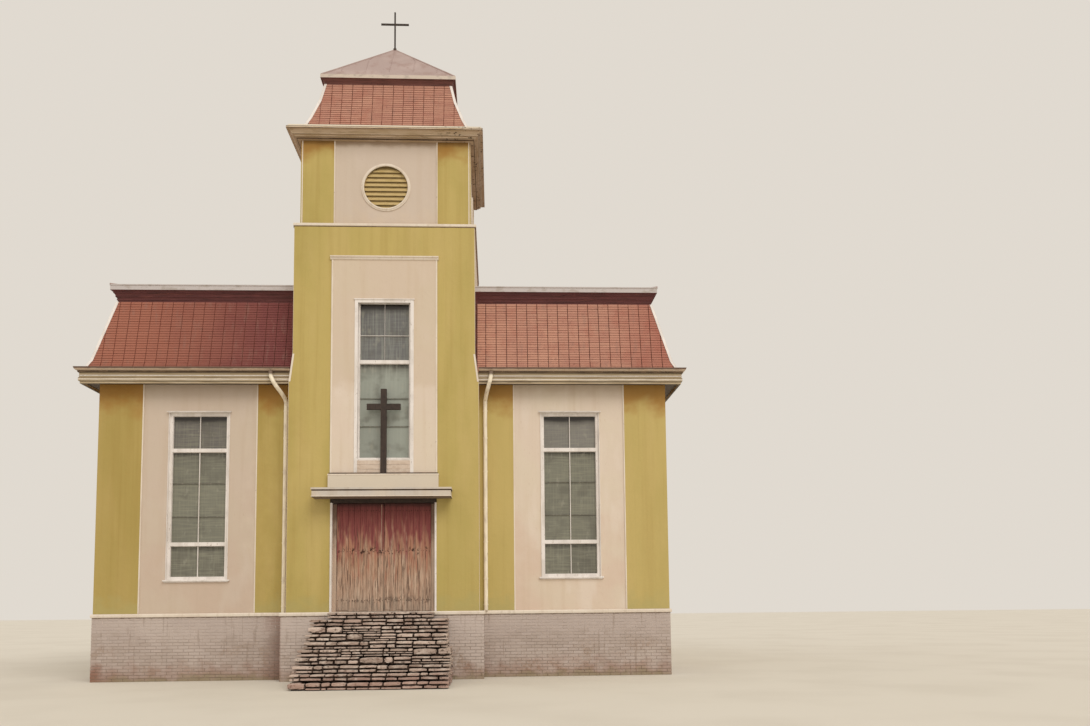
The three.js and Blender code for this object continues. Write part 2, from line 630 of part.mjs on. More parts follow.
addBase();
addSteps();
addNaveWalls();
addTowerFront();
addTowerSides();
addBelfry();
addLouvres();
addTowerTop();
addWindows();
add('door_frame', doorFrame(), 'trim');
addDoorLeaves();
addOverDoor();
addEaves();
addMansards();
addUpperRoof();
addDownpipes();

church.position.y = -MIDDLE_Y;
church.updateMatrixWorld(true);

export default church;
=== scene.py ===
import math
import random

import bmesh
import bpy
from mathutils import Matrix, Vector, noise


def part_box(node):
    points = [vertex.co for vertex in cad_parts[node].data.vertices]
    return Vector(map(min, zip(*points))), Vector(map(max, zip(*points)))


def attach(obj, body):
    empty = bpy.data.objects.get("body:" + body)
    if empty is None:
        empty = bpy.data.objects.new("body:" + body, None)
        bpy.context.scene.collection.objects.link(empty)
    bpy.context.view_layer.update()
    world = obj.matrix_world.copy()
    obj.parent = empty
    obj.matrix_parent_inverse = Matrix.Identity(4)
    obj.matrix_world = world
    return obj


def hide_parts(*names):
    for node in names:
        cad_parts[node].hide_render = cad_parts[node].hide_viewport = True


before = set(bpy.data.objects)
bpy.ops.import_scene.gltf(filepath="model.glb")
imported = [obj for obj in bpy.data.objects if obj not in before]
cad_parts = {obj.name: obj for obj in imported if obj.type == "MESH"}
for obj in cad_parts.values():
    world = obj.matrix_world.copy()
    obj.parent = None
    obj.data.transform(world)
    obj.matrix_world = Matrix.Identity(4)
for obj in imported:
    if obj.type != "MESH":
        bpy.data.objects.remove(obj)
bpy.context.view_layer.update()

# The base of the nave and of the tower
# Brick in courses 75 mm high under a thin pinkish limewash, worn and damp at its foot.
# Its top course is a rendered and whitened moulding that throws the rain off.

BRICK_LENGTH, BRICK_HEIGHT, JOINT = 0.24, 0.065, 0.01
BRICK_PROUD, BRICK_EDGE, BRICK_BED = 0.007, 0.003, 0.002
MOULDING_HEIGHT, MOULDING_OUT = 0.075, 0.025
MOULDING_PROFILE = [
    (-0.02, -0.008), (0.004, -0.008), (0.012, 0.004), (0.014, 0.05), (0.008, 0.064), (-0.004, 0.077),
    (-0.02, 0.077),
]


def linear(code):
    """An sRGB colour in hex as linear red, green and blue, with a full alpha."""
    parts = [int(code[i:i + 2], 16) / 255 for i in (1, 3, 5)]
    return (*(p / 12.92 if p <= 0.04045 else ((p + 0.055) / 1.055) ** 2.4 for p in parts), 1.0)


def add_node(tree, kind, inputs=None, **settings):
    """Adds a node. Settings are its properties. Inputs are values or linked sockets, by name or number."""
    node = tree.nodes.new(kind)
    for name, value in settings.items():
        setattr(node, name, value)
    for key, value in (inputs or {}).items():
        if isinstance(value, bpy.types.NodeSocket):
            tree.links.new(value, node.inputs[key])
        else:
            node.inputs[key].default_value = value
    return node


def start_material(name):
    """A new material whose nodes are still to be made, and its tree."""
    material = bpy.data.materials.new(name)
    material.use_nodes = True
    material.node_tree.nodes.clear()
    return material, material.node_tree


def patches(tree, size, none, full, tall=1.0, detail=3.0):
    """A mask of soft patches, size metres across and tall times as high, from none at one value to full."""
    place = add_node(tree, "ShaderNodeTexCoord").outputs["Object"]
    drawn = add_node(tree, "ShaderNodeMapping", {"Vector": place, "Scale": (1, 1, 1 / tall)}).outputs[0]
    cloud = add_node(tree, "ShaderNodeTexNoise", {"Vector": drawn, "Scale": 1 / size, "Detail": detail})
    steps = {"Value": cloud.outputs["Fac"], "From Min": none, "From Max": full}
    return add_node(tree, "ShaderNodeMapRange", steps, interpolation_type="SMOOTHSTEP").outputs[0]


def uneven(tree, size, tall=1.0):
    """A mask of a surface's unevenness, from fine grit to the waves of a trowel, size metres across."""
    return patches(tree, size, 0.3, 0.7, tall)


def rise(tree, none, full, waver=0.0, size=0.3, tall=1.0, axis="Z"):
    """A mask along an axis, from none at one place to full at another. Its edge wavers by so many metres."""
    place = add_node(tree, "ShaderNodeTexCoord").outputs["Object"]
    level = add_node(tree, "ShaderNodeSeparateXYZ", {0: place}).outputs[axis]
    cloud = patches(tree, size, 0.2, 0.8, tall)
    sums = {0: cloud, 1: 2 * waver, 2: level}
    moved = add_node(tree, "ShaderNodeMath", sums, operation="MULTIPLY_ADD").outputs[0]
    steps = {"Value": moved, "From Min": none + waver, "From Max": full + waver}
    return add_node(tree, "ShaderNodeMapRange", steps, interpolation_type="SMOOTHSTEP").outputs[0]


def coats(tree, base, *layers):
    """Lays colours over a base colour, each one through its masks multiplied together."""
    colour = linear(base)
    for code, *masks in layers:
        amount = masks[0]
        for mask in masks[1:]:
            amount = add_node(tree, "ShaderNodeMath", {0: amount, 1: mask}, operation="MULTIPLY").outputs[0]
        mix = add_node(tree, "ShaderNodeMix", {0: amount, 6: colour, 7: linear(code)}, data_type="RGBA")
        colour = mix.outputs[2]
    return colour


def relief_of(tree, *layers):
    """Adds up surface reliefs, each a mask and its height in millimetres, and gives the height in metres."""
    height = 0.0
    for mask, millimetres in layers:
        sums = {0: mask, 1: millimetres / 1000, 2: height}
        height = add_node(tree, "ShaderNodeMath", sums, operation="MULTIPLY_ADD").outputs[0]
    return height


def end_material(material, colour, roughness, relief=None, fixed=None):
    """Puts colour, roughness and relief on one shader. The fixed values are the same all over."""
    tree = material.node_tree
    inputs = {"Base Color": colour, "Roughness": roughness, **(fixed or {})}
    if relief is not None:
        bump = add_node(tree, "ShaderNodeBump", {"Height": relief, "Distance": 1.0})
        inputs["Normal"] = bump.outputs["Normal"]
    shader = add_node(tree, "ShaderNodeBsdfPrincipled", inputs)
    add_node(tree, "ShaderNodeOutputMaterial", {"Surface": shader.outputs["BSDF"]})
    return material


def tone_of(tree):
    """The random tone, from 0 to 1, that each laid unit, stone, door board or pane carries."""
    return add_node(tree, "ShaderNodeAttribute", attribute_name="tone").outputs["Fac"]


def painted_brick():
    """Limewashed brick: matt and chalky, bare and brown where worn. Only low down do single bricks show."""
    material, tree = start_material("limewashed brick")
    worn = patches(tree, 0.5, 0.52, 0.7)
    fine = uneven(tree, 0.05)
    colour = coats(
        tree, "#b9aba4",
        ("#a8998f", tone_of(tree), rise(tree, 1.35, 0.85, 0.15), 0.7),
        ("#c4b7af", patches(tree, 1.6, 0.45, 0.65), 0.6),
        ("#d8cbc3", rise(tree, -6.05, -6.3, axis="Y"), 0.4),
        ("#a28c7c", worn, fine, rise(tree, 1.2, 0.4, 0.2)),
        ("#8d7a6c", patches(tree, 0.06, 0.6, 0.72, 14), 0.45),
        ("#95705f", rise(tree, 0.55, 0.0, 0.2), 0.6),
        ("#85825f", rise(tree, 0.2, 0.0, 0.12), 0.5),
        ("#8d6656", rise(tree, -6.1, -6.8, 0.1, axis="X"), rise(tree, 0.6, 0.1, 0.15), 0.8),
        ("#8a6a5e", rise(tree, -2.95, -2.45, 0.12, axis="X"), rise(tree, -2.3, -2.36, axis="X"), 0.6),
        # Painted shadow: a dark band just under the moulding.
        ("#6f5647", rise(tree, 1.462, 1.492, 0.012, 0.12), 0.85),
    )
    return end_material(material, colour, 0.92, relief_of(tree, (fine, 1.0), (uneven(tree, 0.012), 0.6)))


def brick_mortar():
    """Lime mortar: whitened over near the top, where it is also painted light to cancel the shade in its
    recessed joints, and dark with damp and moss lower down.
    """
    material, tree = start_material("lime mortar")
    colour = coats(
        # Whitewash and painted light: the pale top cancels the shade in the recessed joints.
        tree, "#cdc0b8",
        ("#a29288", rise(tree, 1.2, 0.7, 0.15)),
        ("#75624f", rise(tree, 0.4, 0.0, 0.15), 0.8),
        ("#b0a196", patches(tree, 0.4, 0.5, 0.65), 0.5),
    )
    return end_material(material, colour, 0.95, relief_of(tree, (uneven(tree, 0.01), 1.5)))


def whitened_render():
    """Smooth lime render under white wash, greyed in streaks."""
    material, tree = start_material("whitened render")
    colour = coats(
        tree, "#e6dbcd",
        ("#c9baa8", patches(tree, 0.09, 0.5, 0.72, 8), 0.5),
        ("#d6c6b5", patches(tree, 0.7, 0.45, 0.65), 0.5),
        ("#8d7a68", patches(tree, 0.06, 0.66, 0.76), 0.5),
    )
    return end_material(material, colour, 0.85, relief_of(tree, (uneven(tree, 0.02), 1.0)))


LAID_INPUTS = {
    "NodeSocketInt": ("columns", "rows", "seed"),
    "NodeSocketFloat": (
        "across", "up", "start", "stagger", "left_foot", "left_head", "right_foot", "right_head", "reach",
        "turn",
    ),
    "NodeSocketVector": ("loose",),
    "NodeSocketMaterial": ("finish",),
}


def laying_tree():
    """The nodes that lay a unit in columns and rows, cut off at a left and a right edge that may lean."""
    tree = bpy.data.node_groups.new("laid in courses", "GeometryNodeTree")
    tree.interface.new_socket("unit", in_out="INPUT", socket_type="NodeSocketGeometry")
    for kind, names in LAID_INPUTS.items():
        for name in names:
            tree.interface.new_socket(name, in_out="INPUT", socket_type=kind)
    tree.interface.new_socket("laid", in_out="OUTPUT", socket_type="NodeSocketGeometry")
    given = add_node(tree, "NodeGroupInput").outputs
    index = add_node(tree, "GeometryNodeInputIndex").outputs[0]
    pair = {0: index, 1: given["columns"]}
    column = add_node(tree, "FunctionNodeIntegerMath", pair, operation="MODULO").outputs[0]
    row = add_node(tree, "FunctionNodeIntegerMath", pair, operation="DIVIDE_FLOOR").outputs[0]
    odd = add_node(tree, "FunctionNodeIntegerMath", {0: row, 1: 2}, operation="MODULO").outputs[0]
    stepped = {0: odd, 1: given["stagger"], 2: column}
    place = add_node(tree, "ShaderNodeMath", stepped, operation="MULTIPLY_ADD").outputs[0]
    along = {0: place, 1: given["across"], 2: given["start"]}
    x = add_node(tree, "ShaderNodeMath", along, operation="MULTIPLY_ADD").outputs[0]
    z = add_node(tree, "ShaderNodeMath", {0: row, 1: given["up"]}, operation="MULTIPLY").outputs[0]
    foot = add_node(tree, "ShaderNodeCombineXYZ", {"X": x, "Z": z}).outputs[0]
    units = {0: given["columns"], 1: given["rows"]}
    count = add_node(tree, "FunctionNodeIntegerMath", units, operation="MULTIPLY").outputs[0]
    points = add_node(tree, "GeometryNodePoints", {"Count": count, "Position": foot}).outputs[0]
    position = add_node(tree, "GeometryNodeInputPosition").outputs[0]
    here = add_node(tree, "ShaderNodeSeparateXYZ", {0: position}).outputs
    courses = {0: given["rows"], 1: given["up"]}
    height = add_node(tree, "ShaderNodeMath", courses, operation="MULTIPLY").outputs[0]
    edges = [
        add_node(tree, "ShaderNodeMapRange", {
            "Value": here["Z"], "From Max": height,
            "To Min": given[f"{side}_foot"], "To Max": given[f"{side}_head"],
        }, clamp=False).outputs[0]
        for side in ("left", "right")
    ]
    between = {"Value": here["X"], "Min": edges[0], "Max": edges[1]}
    held = add_node(tree, "ShaderNodeClamp", between).outputs[0]
    past = add_node(tree, "ShaderNodeMath", {0: here["X"], 1: held}, operation="SUBTRACT").outputs[0]
    away = add_node(tree, "ShaderNodeMath", {0: past}, operation="ABSOLUTE").outputs[0]
    limits = {0: away, 1: given["reach"]}
    outside = add_node(tree, "FunctionNodeCompare", limits, data_type="FLOAT", operation="GREATER_THAN")
    dropped = {"Geometry": points, "Selection": outside.outputs[0]}
    kept = add_node(tree, "GeometryNodeDeleteGeometry", dropped, domain="POINT").outputs[0]
    spread = {0: (-1, -1, -1), 1: (1, 1, 1), "Seed": given["seed"]}
    chance = add_node(tree, "FunctionNodeRandomValue", spread, data_type="FLOAT_VECTOR").outputs[0]
    loosened = {0: chance, 1: given["loose"]}
    shift = add_node(tree, "ShaderNodeVectorMath", loosened, operation="MULTIPLY").outputs[0]
    moved = add_node(tree, "GeometryNodeSetPosition", {"Geometry": kept, "Offset": shift}).outputs[0]
    next_seed = {0: given["seed"], 1: 1}
    spread["Seed"] = add_node(tree, "FunctionNodeIntegerMath", next_seed, operation="ADD").outputs[0]
    spin = add_node(tree, "FunctionNodeRandomValue", spread, data_type="FLOAT_VECTOR").outputs[0]
    spun = {0: spin, "Scale": given["turn"]}
    turned = add_node(tree, "ShaderNodeVectorMath", spun, operation="SCALE").outputs[0]
    copied = {"Points": moved, "Instance": given["unit"], "Rotation": turned}
    copies = add_node(tree, "GeometryNodeInstanceOnPoints", copied).outputs[0]
    tone = add_node(tree, "FunctionNodeRandomValue", {"Seed": given["seed"]}, data_type="FLOAT").outputs[1]
    carried = {"Geometry": copies, "Name": "tone", "Value": tone}
    toned = add_node(tree, "GeometryNodeStoreNamedAttribute", carried, data_type="FLOAT", domain="INSTANCE")
    real = add_node(tree, "GeometryNodeRealizeInstances", {"Geometry": toned.outputs[0]}).outputs[0]
    within = add_node(tree, "ShaderNodeCombineXYZ", {"X": held, "Y": here["Y"], "Z": here["Z"]}).outputs[0]
    cut = add_node(tree, "GeometryNodeSetPosition", {"Geometry": real, "Position": within}).outputs[0]
    finished = {"Geometry": cut, "Material": given["finish"]}
    done = add_node(tree, "GeometryNodeSetMaterial", finished).outputs[0]
    add_node(tree, "NodeGroupOutput", {"laid": done})
    return tree


LAYING = laying_tree()
FAR = 100.0


def laid(name, unit, finish, place=Matrix(), **sizes):
    """Lays copies of a unit in courses with the laying nodes, as one plain mesh in its place."""
    piece = bpy.data.objects.new(name, unit)
    bpy.context.scene.collection.objects.link(piece)
    modifier = piece.modifiers.new("courses", "NODES")
    modifier.node_group = LAYING
    given = {
        "rows": 1, "up": 0.0, "start": 0.0, "stagger": 0.0, "left_foot": -FAR, "left_head": -FAR,
        "right_foot": FAR, "right_head": FAR, "reach": 0.0, "loose": (0, 0, 0), "turn": 0.0, "seed": 1,
        "finish": finish, **sizes,
    }
    for socket in LAYING.interface.items_tree:
        if socket.name in given:
            modifier[socket.identifier] = given[socket.name]
    graph = bpy.context.evaluated_depsgraph_get()
    evaluated = piece.evaluated_get(graph)
    mesh = bpy.data.meshes.new_from_object(evaluated, preserve_all_data_layers=True, depsgraph=graph)
    piece.modifiers.clear()
    piece.data = mesh
    mesh.transform(place)
    return piece


def rectangle(x0, y0, x1, y1):
    """The corners of a rectangle, run so that its outside is to the right."""
    return [(x0, y0), (x1, y0), (x1, y1), (x0, y1)]


def join_rings(shape, rings, closed=False):
    """Adds the faces between rings of corners, and caps the end rings or joins them to each other."""
    for near, far in zip(rings, rings[1:] + rings[:1] if closed else rings[1:]):
        for i in range(len(near)):
            shape.faces.new((near[i - 1], near[i], far[i], far[i - 1]))
    if not closed:
        shape.faces.new(rings[0])
        shape.faces.new(reversed(rings[-1]))


def mesh_of(name, shape):
    """Ends a bmesh as a mesh whose faces point out."""
    bmesh.ops.recalc_face_normals(shape, faces=shape.faces)
    mesh = bpy.data.meshes.new(name)
    shape.to_mesh(mesh)
    shape.free()
    return mesh


def block(across, up, deep, edge, lean=0.0):
    """A unit that stands on z = 0, its back at y = 0 and its front edges broken. Its foot may lean out."""
    shape = bmesh.new()
    rings = []
    for y, inset in ((0, 0), (edge - deep, 0), (-deep, edge)):
        x = across / 2 - inset
        rings.append([
            shape.verts.new((cx, y - (lean * (1 - cz / up) if y else 0), cz))
            for cx, cz in rectangle(-x, inset, x, up - inset)
        ])
    join_rings(shape, rings)
    return mesh_of("unit", shape)


def piece_of(name, shape, finish):
    """Makes a finished piece of a bmesh."""
    mesh = mesh_of(name, shape)
    mesh.materials.append(finish)
    piece = bpy.data.objects.new(name, mesh)
    bpy.context.scene.collection.objects.link(piece)
    return piece


def settle(slot, *pieces, body="building"):
    """The pieces move with a body. The slot is not used."""
    for piece in pieces:
        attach(piece, body)


def dress(finish, *names):
    """Gives pieces of the frame their finish."""
    for name in names:
        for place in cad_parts[name].material_slots:
            place.material = finish


def quarter_turn(quarter):
    """A turn about the upright axis by quarters: from the front to the right, the rear and the left."""
    return Matrix.Rotation(quarter * math.pi / 2, 4, "Z")


def face_of(low, high, quarter):
    """The place of something drawn as a front face, on the face of a box so many quarter turns round."""
    middle = (low + high) / 2
    half = (high - low) / 2
    reach = half.y if quarter % 2 == 0 else half.x
    away = Matrix.Translation((0, -reach, 0))
    return Matrix.Translation((middle.x, middle.y, 0)) @ quarter_turn(quarter) @ away


def mitred_run(shape, profile, path, closed=False, level=0.0):
    """Adds a profile of (out, height) along a path of (x, y), mitred at its turns, and returns its corners.

    Out is to the right of the path.
    """
    count = len(path)
    rings = []
    for i, here in enumerate(path):
        here = Vector(here)
        before = (here - Vector(path[i - 1])).normalized() if closed or i > 0 else None
        after = (Vector(path[(i + 1) % count]) - here).normalized() if closed or i < count - 1 else None
        first, last = before or after, after or before
        out = Vector((first.y, -first.x)) + Vector((last.y, -last.x))
        out *= 2 / out.length_squared
        rings.append([shape.verts.new((*(here + out * x), z + level)) for x, z in profile])
    join_rings(shape, rings, closed)
    return [vert for ring in rings for vert in ring]


nave_low, nave_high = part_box("nave_plinth")
porch_low, porch_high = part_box("tower_plinth")
FLOOR_LEVEL = nave_high.z
BRICK_TOP = FLOOR_LEVEL - MOULDING_HEIGHT
BRICK_ROWS = round(BRICK_TOP / (BRICK_HEIGHT + JOINT))
inward = Vector((MOULDING_OUT, MOULDING_OUT, 0))
nave_foot = (nave_low + inward, nave_high - inward)
porch_foot = (porch_low + inward, porch_high - Vector((MOULDING_OUT, 0, 0)))
limewashed = painted_brick()
whitened = whitened_render()


def brickwork(name, place, left, right, seed):
    """One face of brick in running bond, from its left to its right end."""
    pitch = BRICK_LENGTH + JOINT
    return laid(
        name, block(BRICK_LENGTH, BRICK_HEIGHT, BRICK_PROUD, BRICK_EDGE), limewashed,
        place @ Matrix.Translation((0, 0, BRICK_BED)), columns=math.ceil((right - left) / pitch) + 2,
        rows=BRICK_ROWS, across=pitch, up=BRICK_HEIGHT + JOINT, start=left - pitch / 2, stagger=0.5,
        left_foot=left, left_head=left, right_foot=right, right_head=right, reach=BRICK_LENGTH / 2 - JOINT,
        loose=(0.002, 0.002, 0.001), turn=0.004, seed=seed,
    )


nave_half = (nave_foot[1].x - nave_foot[0].x) / 2 + BRICK_PROUD
nave_deep = (nave_foot[1].y - nave_foot[0].y) / 2 + BRICK_PROUD
porch_half = (porch_foot[1].x - porch_foot[0].x) / 2 + BRICK_PROUD
porch_deep = (porch_foot[1].y - porch_foot[0].y) / 2
brick_faces = (
    ("front_left", nave_foot, 0, -nave_half, -porch_half),
    ("front_right", nave_foot, 0, porch_half, nave_half),
    ("right", nave_foot, 1, -nave_deep, nave_deep),
    ("rear", nave_foot, 2, -nave_half, nave_half),
    ("left", nave_foot, 3, -nave_deep, nave_deep),
    ("porch", porch_foot, 0, -porch_half, porch_half),
    ("porch_right", porch_foot, 1, -porch_deep, porch_deep),
    ("porch_left", porch_foot, 3, -porch_deep, porch_deep),
)
for seed, (name, foot, quarter, left, right) in enumerate(brick_faces, 11):
    settle("plinth_masonry", brickwork(f"base_bricks_{name}", face_of(*foot, quarter), left, right, seed))
dress(brick_mortar(), "nave_plinth", "tower_plinth")

base_moulding = bmesh.new()
nave_run = [
    (porch_high.x, nave_low.y), (nave_high.x, nave_low.y), (nave_high.x, nave_high.y),
    (nave_low.x, nave_high.y), (nave_low.x, nave_low.y), (porch_low.x, nave_low.y),
]
porch_run = [
    (porch_low.x, porch_high.y), (porch_low.x, porch_low.y),
    (porch_high.x, porch_low.y), (porch_high.x, porch_high.y),
]
for run in (nave_run, porch_run):
    mitred_run(base_moulding, MOULDING_PROFILE, run, level=BRICK_TOP)
settle("cream_render", piece_of("base_moulding", base_moulding, whitened))

# The floor inside
# Spruce boards nailed down side by side, oiled once and worn grey.

BOARD_WIDTH, BOARD_LENGTH, BOARD_JOINT = 0.15, 2.4, 0.003


def floor_boards():
    """Old spruce boards: long grain, a dark joint every 150 mm, each board its own shade."""
    material, tree = start_material("worn spruce boards")
    place = add_node(tree, "ShaderNodeTexCoord").outputs["Object"]
    along = {"Vector": place, "Rotation": (0, 0, math.pi / 2)}
    turned = add_node(tree, "ShaderNodeMapping", along).outputs[0]
    boards = add_node(tree, "ShaderNodeTexBrick", {
        "Vector": turned, "Scale": 1.0,
        "Color1": linear("#8f7454"), "Color2": linear("#a48a68"), "Mortar": linear("#3a2c20"),
        "Brick Width": BOARD_LENGTH, "Row Height": BOARD_WIDTH, "Mortar Size": BOARD_JOINT,
    }, offset=0.35)
    grain = add_node(tree, "ShaderNodeMapping", {"Vector": place, "Scale": (60, 2, 1)}).outputs[0]
    streaked = {"Vector": grain, "Scale": 1.0, "Detail": 4}
    streaks = add_node(tree, "ShaderNodeTexNoise", streaked).outputs["Fac"]
    mix = {0: streaks, 6: boards.outputs["Color"], 7: linear("#6d563e")}
    colour = add_node(tree, "ShaderNodeMix", mix, data_type="RGBA").outputs[2]
    return end_material(material, colour, 0.7, relief_of(tree, (boards.outputs["Fac"], -2.0), (streaks, 0.4)))


dress(floor_boards(), "floor")

# The front steps
# Split sandstone laid nearly dry against a core of earth and rubble. A course is built in bays of one to
# three uneven layers, and its joints are deep and dark. The flight ends in straight slabs before the door.

STEP_COUNT = 10
STEP_RISE = FLOOR_LEVEL / STEP_COUNT
TREAD = 0.245
FLIGHT_HALVES = [1.66] * 5 + [1.57] * 4 + [1.22]
BAY_LENGTHS = (0.35, 1.05)
LAYER_PATTERNS = ((0.55, 1.0), (0.6, 1.0), (0.3, 0.62, 1.0), (0.5, 1.0), (0.36, 1.0), (1.0,))
STONE_DEEP, STONE_SET_BACK = 0.28, 0.045
STONE_BED, STONE_GAP = (0.002, 0.009), (0.003, 0.011)
STONE_SLENDER, STONE_EXTRA = 1.6, 0.35
STONE_SKEW, MOST_SKEW = 0.3, 0.04
ARRIS_PULL = 0.16
DENTS = ((8, 0.4), (25, 0.2))
SLAB_LENGTHS, SLAB_JOINT, SLAB_THICK = (0.45, 1.05), 0.012, 0.06
CORE_INSET, CORE_BELOW = 0.1, 0.03
STEP_SEED = 43
steps_low, steps_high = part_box("front_steps")


def facing(tree, direction):
    """A mask of the surfaces that face a direction: all of it within about 35 degrees."""
    normal = add_node(tree, "ShaderNodeNewGeometry").outputs["True Normal"]
    pair = {0: normal, 1: direction}
    along = add_node(tree, "ShaderNodeVectorMath", pair, operation="DOT_PRODUCT").outputs["Value"]
    steps = {"Value": along, "From Min": 0.4, "From Max": 0.8}
    return add_node(tree, "ShaderNodeMapRange", steps).outputs[0]


def split_stone():
    """Split sandstone, weathered: pinkish-grey, matt and gritty, darker where moss and earth cling to it."""
    material, tree = start_material("split sandstone")
    grit = uneven(tree, 0.02)
    colour = coats(
        tree, "#d0bcaf",
        ("#a08e82", tone_of(tree)),
        ("#d6c8bc", patches(tree, 0.22, 0.5, 0.66), 0.7),
        ("#96786a", patches(tree, 0.5, 0.52, 0.68), 0.5),
        ("#56453a", patches(tree, 0.07, 0.57, 0.68), 0.75),
        ("#a57e72", rise(tree, 0.4, 0.1, 0.15), 0.5),
        # Painted shade: the undersides of the stones, near black.
        ("#3d2f26", facing(tree, (0, 0, -1)), 0.95),
    )
    return end_material(material, colour, 0.95, relief_of(tree, (grit, 3.0), (uneven(tree, 0.08), 6.0)))


def earth_core():
    """Packed earth and rubble between the stones: almost black in the joints."""
    material, tree = start_material("packed earth")
    colour = coats(tree, "#2e2119", ("#423227", patches(tree, 0.1, 0.4, 0.6)))
    return end_material(material, colour, 1.0, relief_of(tree, (uneven(tree, 0.03), 8.0)))


def divided_cube(cuts):
    """The corners and faces of a cube from -1 to 1 whose sides are divided into small squares."""
    steps = [2 * i / cuts - 1 for i in range(cuts + 1)]
    corners, faces = {}, []
    for axis in range(3):
        for side in (-1.0, 1.0):
            for i in range(cuts):
                for j in range(cuts):
                    square = rectangle(steps[i], steps[j], steps[i + 1], steps[j + 1])
                    turned = [(*pair[:axis], side, *pair[axis:]) for pair in square]
                    faces.append([corners.setdefault(corner, len(corners)) for corner in turned])
    return list(corners), faces


CUBE_CORNERS, CUBE_FACES = divided_cube(4)


def rough_block(shape, tone, low, high, chance):
    """Adds a hewn stone between two corners: askew, its arrises rounded, its uneven skin kept inside."""
    low, high = Vector(low), Vector(high)
    middle, half = (low + high) / 2, (high - low) / 2
    phase = Vector([chance.uniform(0, 50) for _ in range(3)])
    size = min(half)
    skew = min(size, MOST_SKEW)
    shade = chance.random()
    corners = {
        (x, y, z): Vector([-side * chance.uniform(0, STONE_SKEW) * skew for side in (x, y, z)])
        for x in (-1, 1) for y in (-1, 1) for z in (-1, 1)
    }
    made = []
    for unit in CUBE_CORNERS:
        at_edge = [abs(value) > 0.99 for value in unit]
        pull = ARRIS_PULL * size * max(sum(at_edge) - 1, 0)
        place = Vector([value * reach for value, reach in zip(unit, half)])
        dent = Vector()
        for waves, depth in DENTS:
            dent += noise.noise_vector((place + phase) * waves) * size * depth
        for i, value in enumerate(unit):
            place[i] += -math.copysign(pull + abs(dent[i]), value) if at_edge[i] else dent[i] / 2
        for sides, askew in corners.items():
            place += askew * math.prod((1 + side * value) / 2 for side, value in zip(sides, unit))
        made.append(shape.verts.new(middle + place))
        made[-1][tone] = shade
    for face in CUBE_FACES:
        shape.faces.new([made[i] for i in face])


def uneven_row(chance, lengths, start, end):
    """Splits a length into uneven pieces between a shortest and a longest."""
    cuts = [start]
    while end - cuts[-1] > lengths[1]:
        cuts.append(cuts[-1] + chance.uniform(*lengths))
    if end - cuts[-1] < lengths[0] / 2 and len(cuts) > 1:
        cuts.pop()
    return list(zip(cuts, cuts[1:] + [end]))


def bay_stones(chance, start, end, low, high):
    """The stones of one bay of a course as (start, end, low, high), laid in one to three uneven layers."""
    stones = []
    bottom = low
    for share in chance.choice(LAYER_PATTERNS):
        top = high if share == 1.0 else low + (share + chance.uniform(-0.06, 0.06)) * (high - low)
        shortest = STONE_SLENDER * (top - bottom)
        for left, right in uneven_row(chance, (shortest, shortest + STONE_EXTRA), start, end):
            bed, gap = chance.uniform(*STONE_BED), chance.uniform(*STONE_GAP)
            stones.append((left + gap, right - gap, bottom + bed, top - (0.0 if share == 1.0 else 0.003)))
        bottom = top
    return stones


def step_stones(shape, tone):
    """Adds the courses of the flight, along the front and down both sides, and whole slabs on the landing."""
    chance = random.Random(STEP_SEED)
    noise.seed_set(STEP_SEED)
    for i, half in enumerate(FLIGHT_HALVES):
        front, low, high = steps_low.y + i * TREAD, i * STEP_RISE, (i + 1) * STEP_RISE
        for start, end in uneven_row(chance, BAY_LENGTHS, -half, half):
            for x0, x1, z0, z1 in bay_stones(chance, start, end, low, high):
                face = front + chance.uniform(0, STONE_SET_BACK)
                rough_block(shape, tone, (x0, face, z0), (x1, front + STONE_DEEP, z1), chance)
        for side in (-1, 1):
            for start, end in uneven_row(chance, BAY_LENGTHS, front + STONE_DEEP, steps_high.y):
                for y0, y1, z0, z1 in bay_stones(chance, start, end, low, high):
                    face = half - chance.uniform(0, STONE_SET_BACK)
                    x0, x1 = sorted((side * face, side * (half - STONE_DEEP)))
                    rough_block(shape, tone, (x0, y0, z0), (x1, y1, z1), chance)
    inner = FLIGHT_HALVES[-1] - STONE_DEEP
    joint = SLAB_JOINT / 2
    front = steps_low.y + (STEP_COUNT - 1) * TREAD + STONE_DEEP + joint
    for x0, x1 in uneven_row(chance, SLAB_LENGTHS, -inner, inner):
        near = (x0 + joint, front, FLOOR_LEVEL - SLAB_THICK)
        rough_block(shape, tone, near, (x1 - joint, steps_high.y, FLOOR_LEVEL), chance)


def add_box(shape, low, high, edge=0.0):
    """Adds a box between two corners, its edges broken where an edge width is given."""
    low, high = Vector(low), Vector(high)
    made = bmesh.ops.create_cube(shape, size=1)["verts"]
    for vert in made:
        vert.co = Vector([low[i] + (vert.co[i] + 0.5) * (high[i] - low[i]) for i in range(3)])
    if edge:
        edges = list({line for vert in made for line in vert.link_edges})
        bmesh.ops.bevel(shape, geom=edges, offset=edge, segments=1, affect="EDGES")


flight = bmesh.new()
step_stones(flight, flight.verts.layers.float.new("tone"))
step_flight = piece_of("step_stones", flight, split_stone())
core = bmesh.new()
for course, reach in enumerate(FLIGHT_HALVES):
    low = (-reach + CORE_INSET, steps_low.y + course * TREAD + CORE_INSET, course * STEP_RISE)
    add_box(core, low, (reach - CORE_INSET, steps_high.y, (course + 1) * STEP_RISE - CORE_BELOW))
settle("step_stone", step_flight, piece_of("step_core", core, earth_core()))
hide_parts("front_steps")

# The nave's walls
# Masonry under lime render. Cream fields, each between ochre strips that stand out by 22 mm and wrap the
# corners. A narrow whitened bead runs up each edge of a field.

STRIP_OUT, STRIP_EDGE = 0.022, 0.004
BEAD_WIDTH, BEAD_OUT, BEAD_EDGE = 0.028, 0.025, 0.008
CORNER_STRIP, TOWER_STRIP = 1.003, 0.83
FIELD_HALF = 1.36
REAR_FIELDS = (-3.9, 0.0, 3.9)


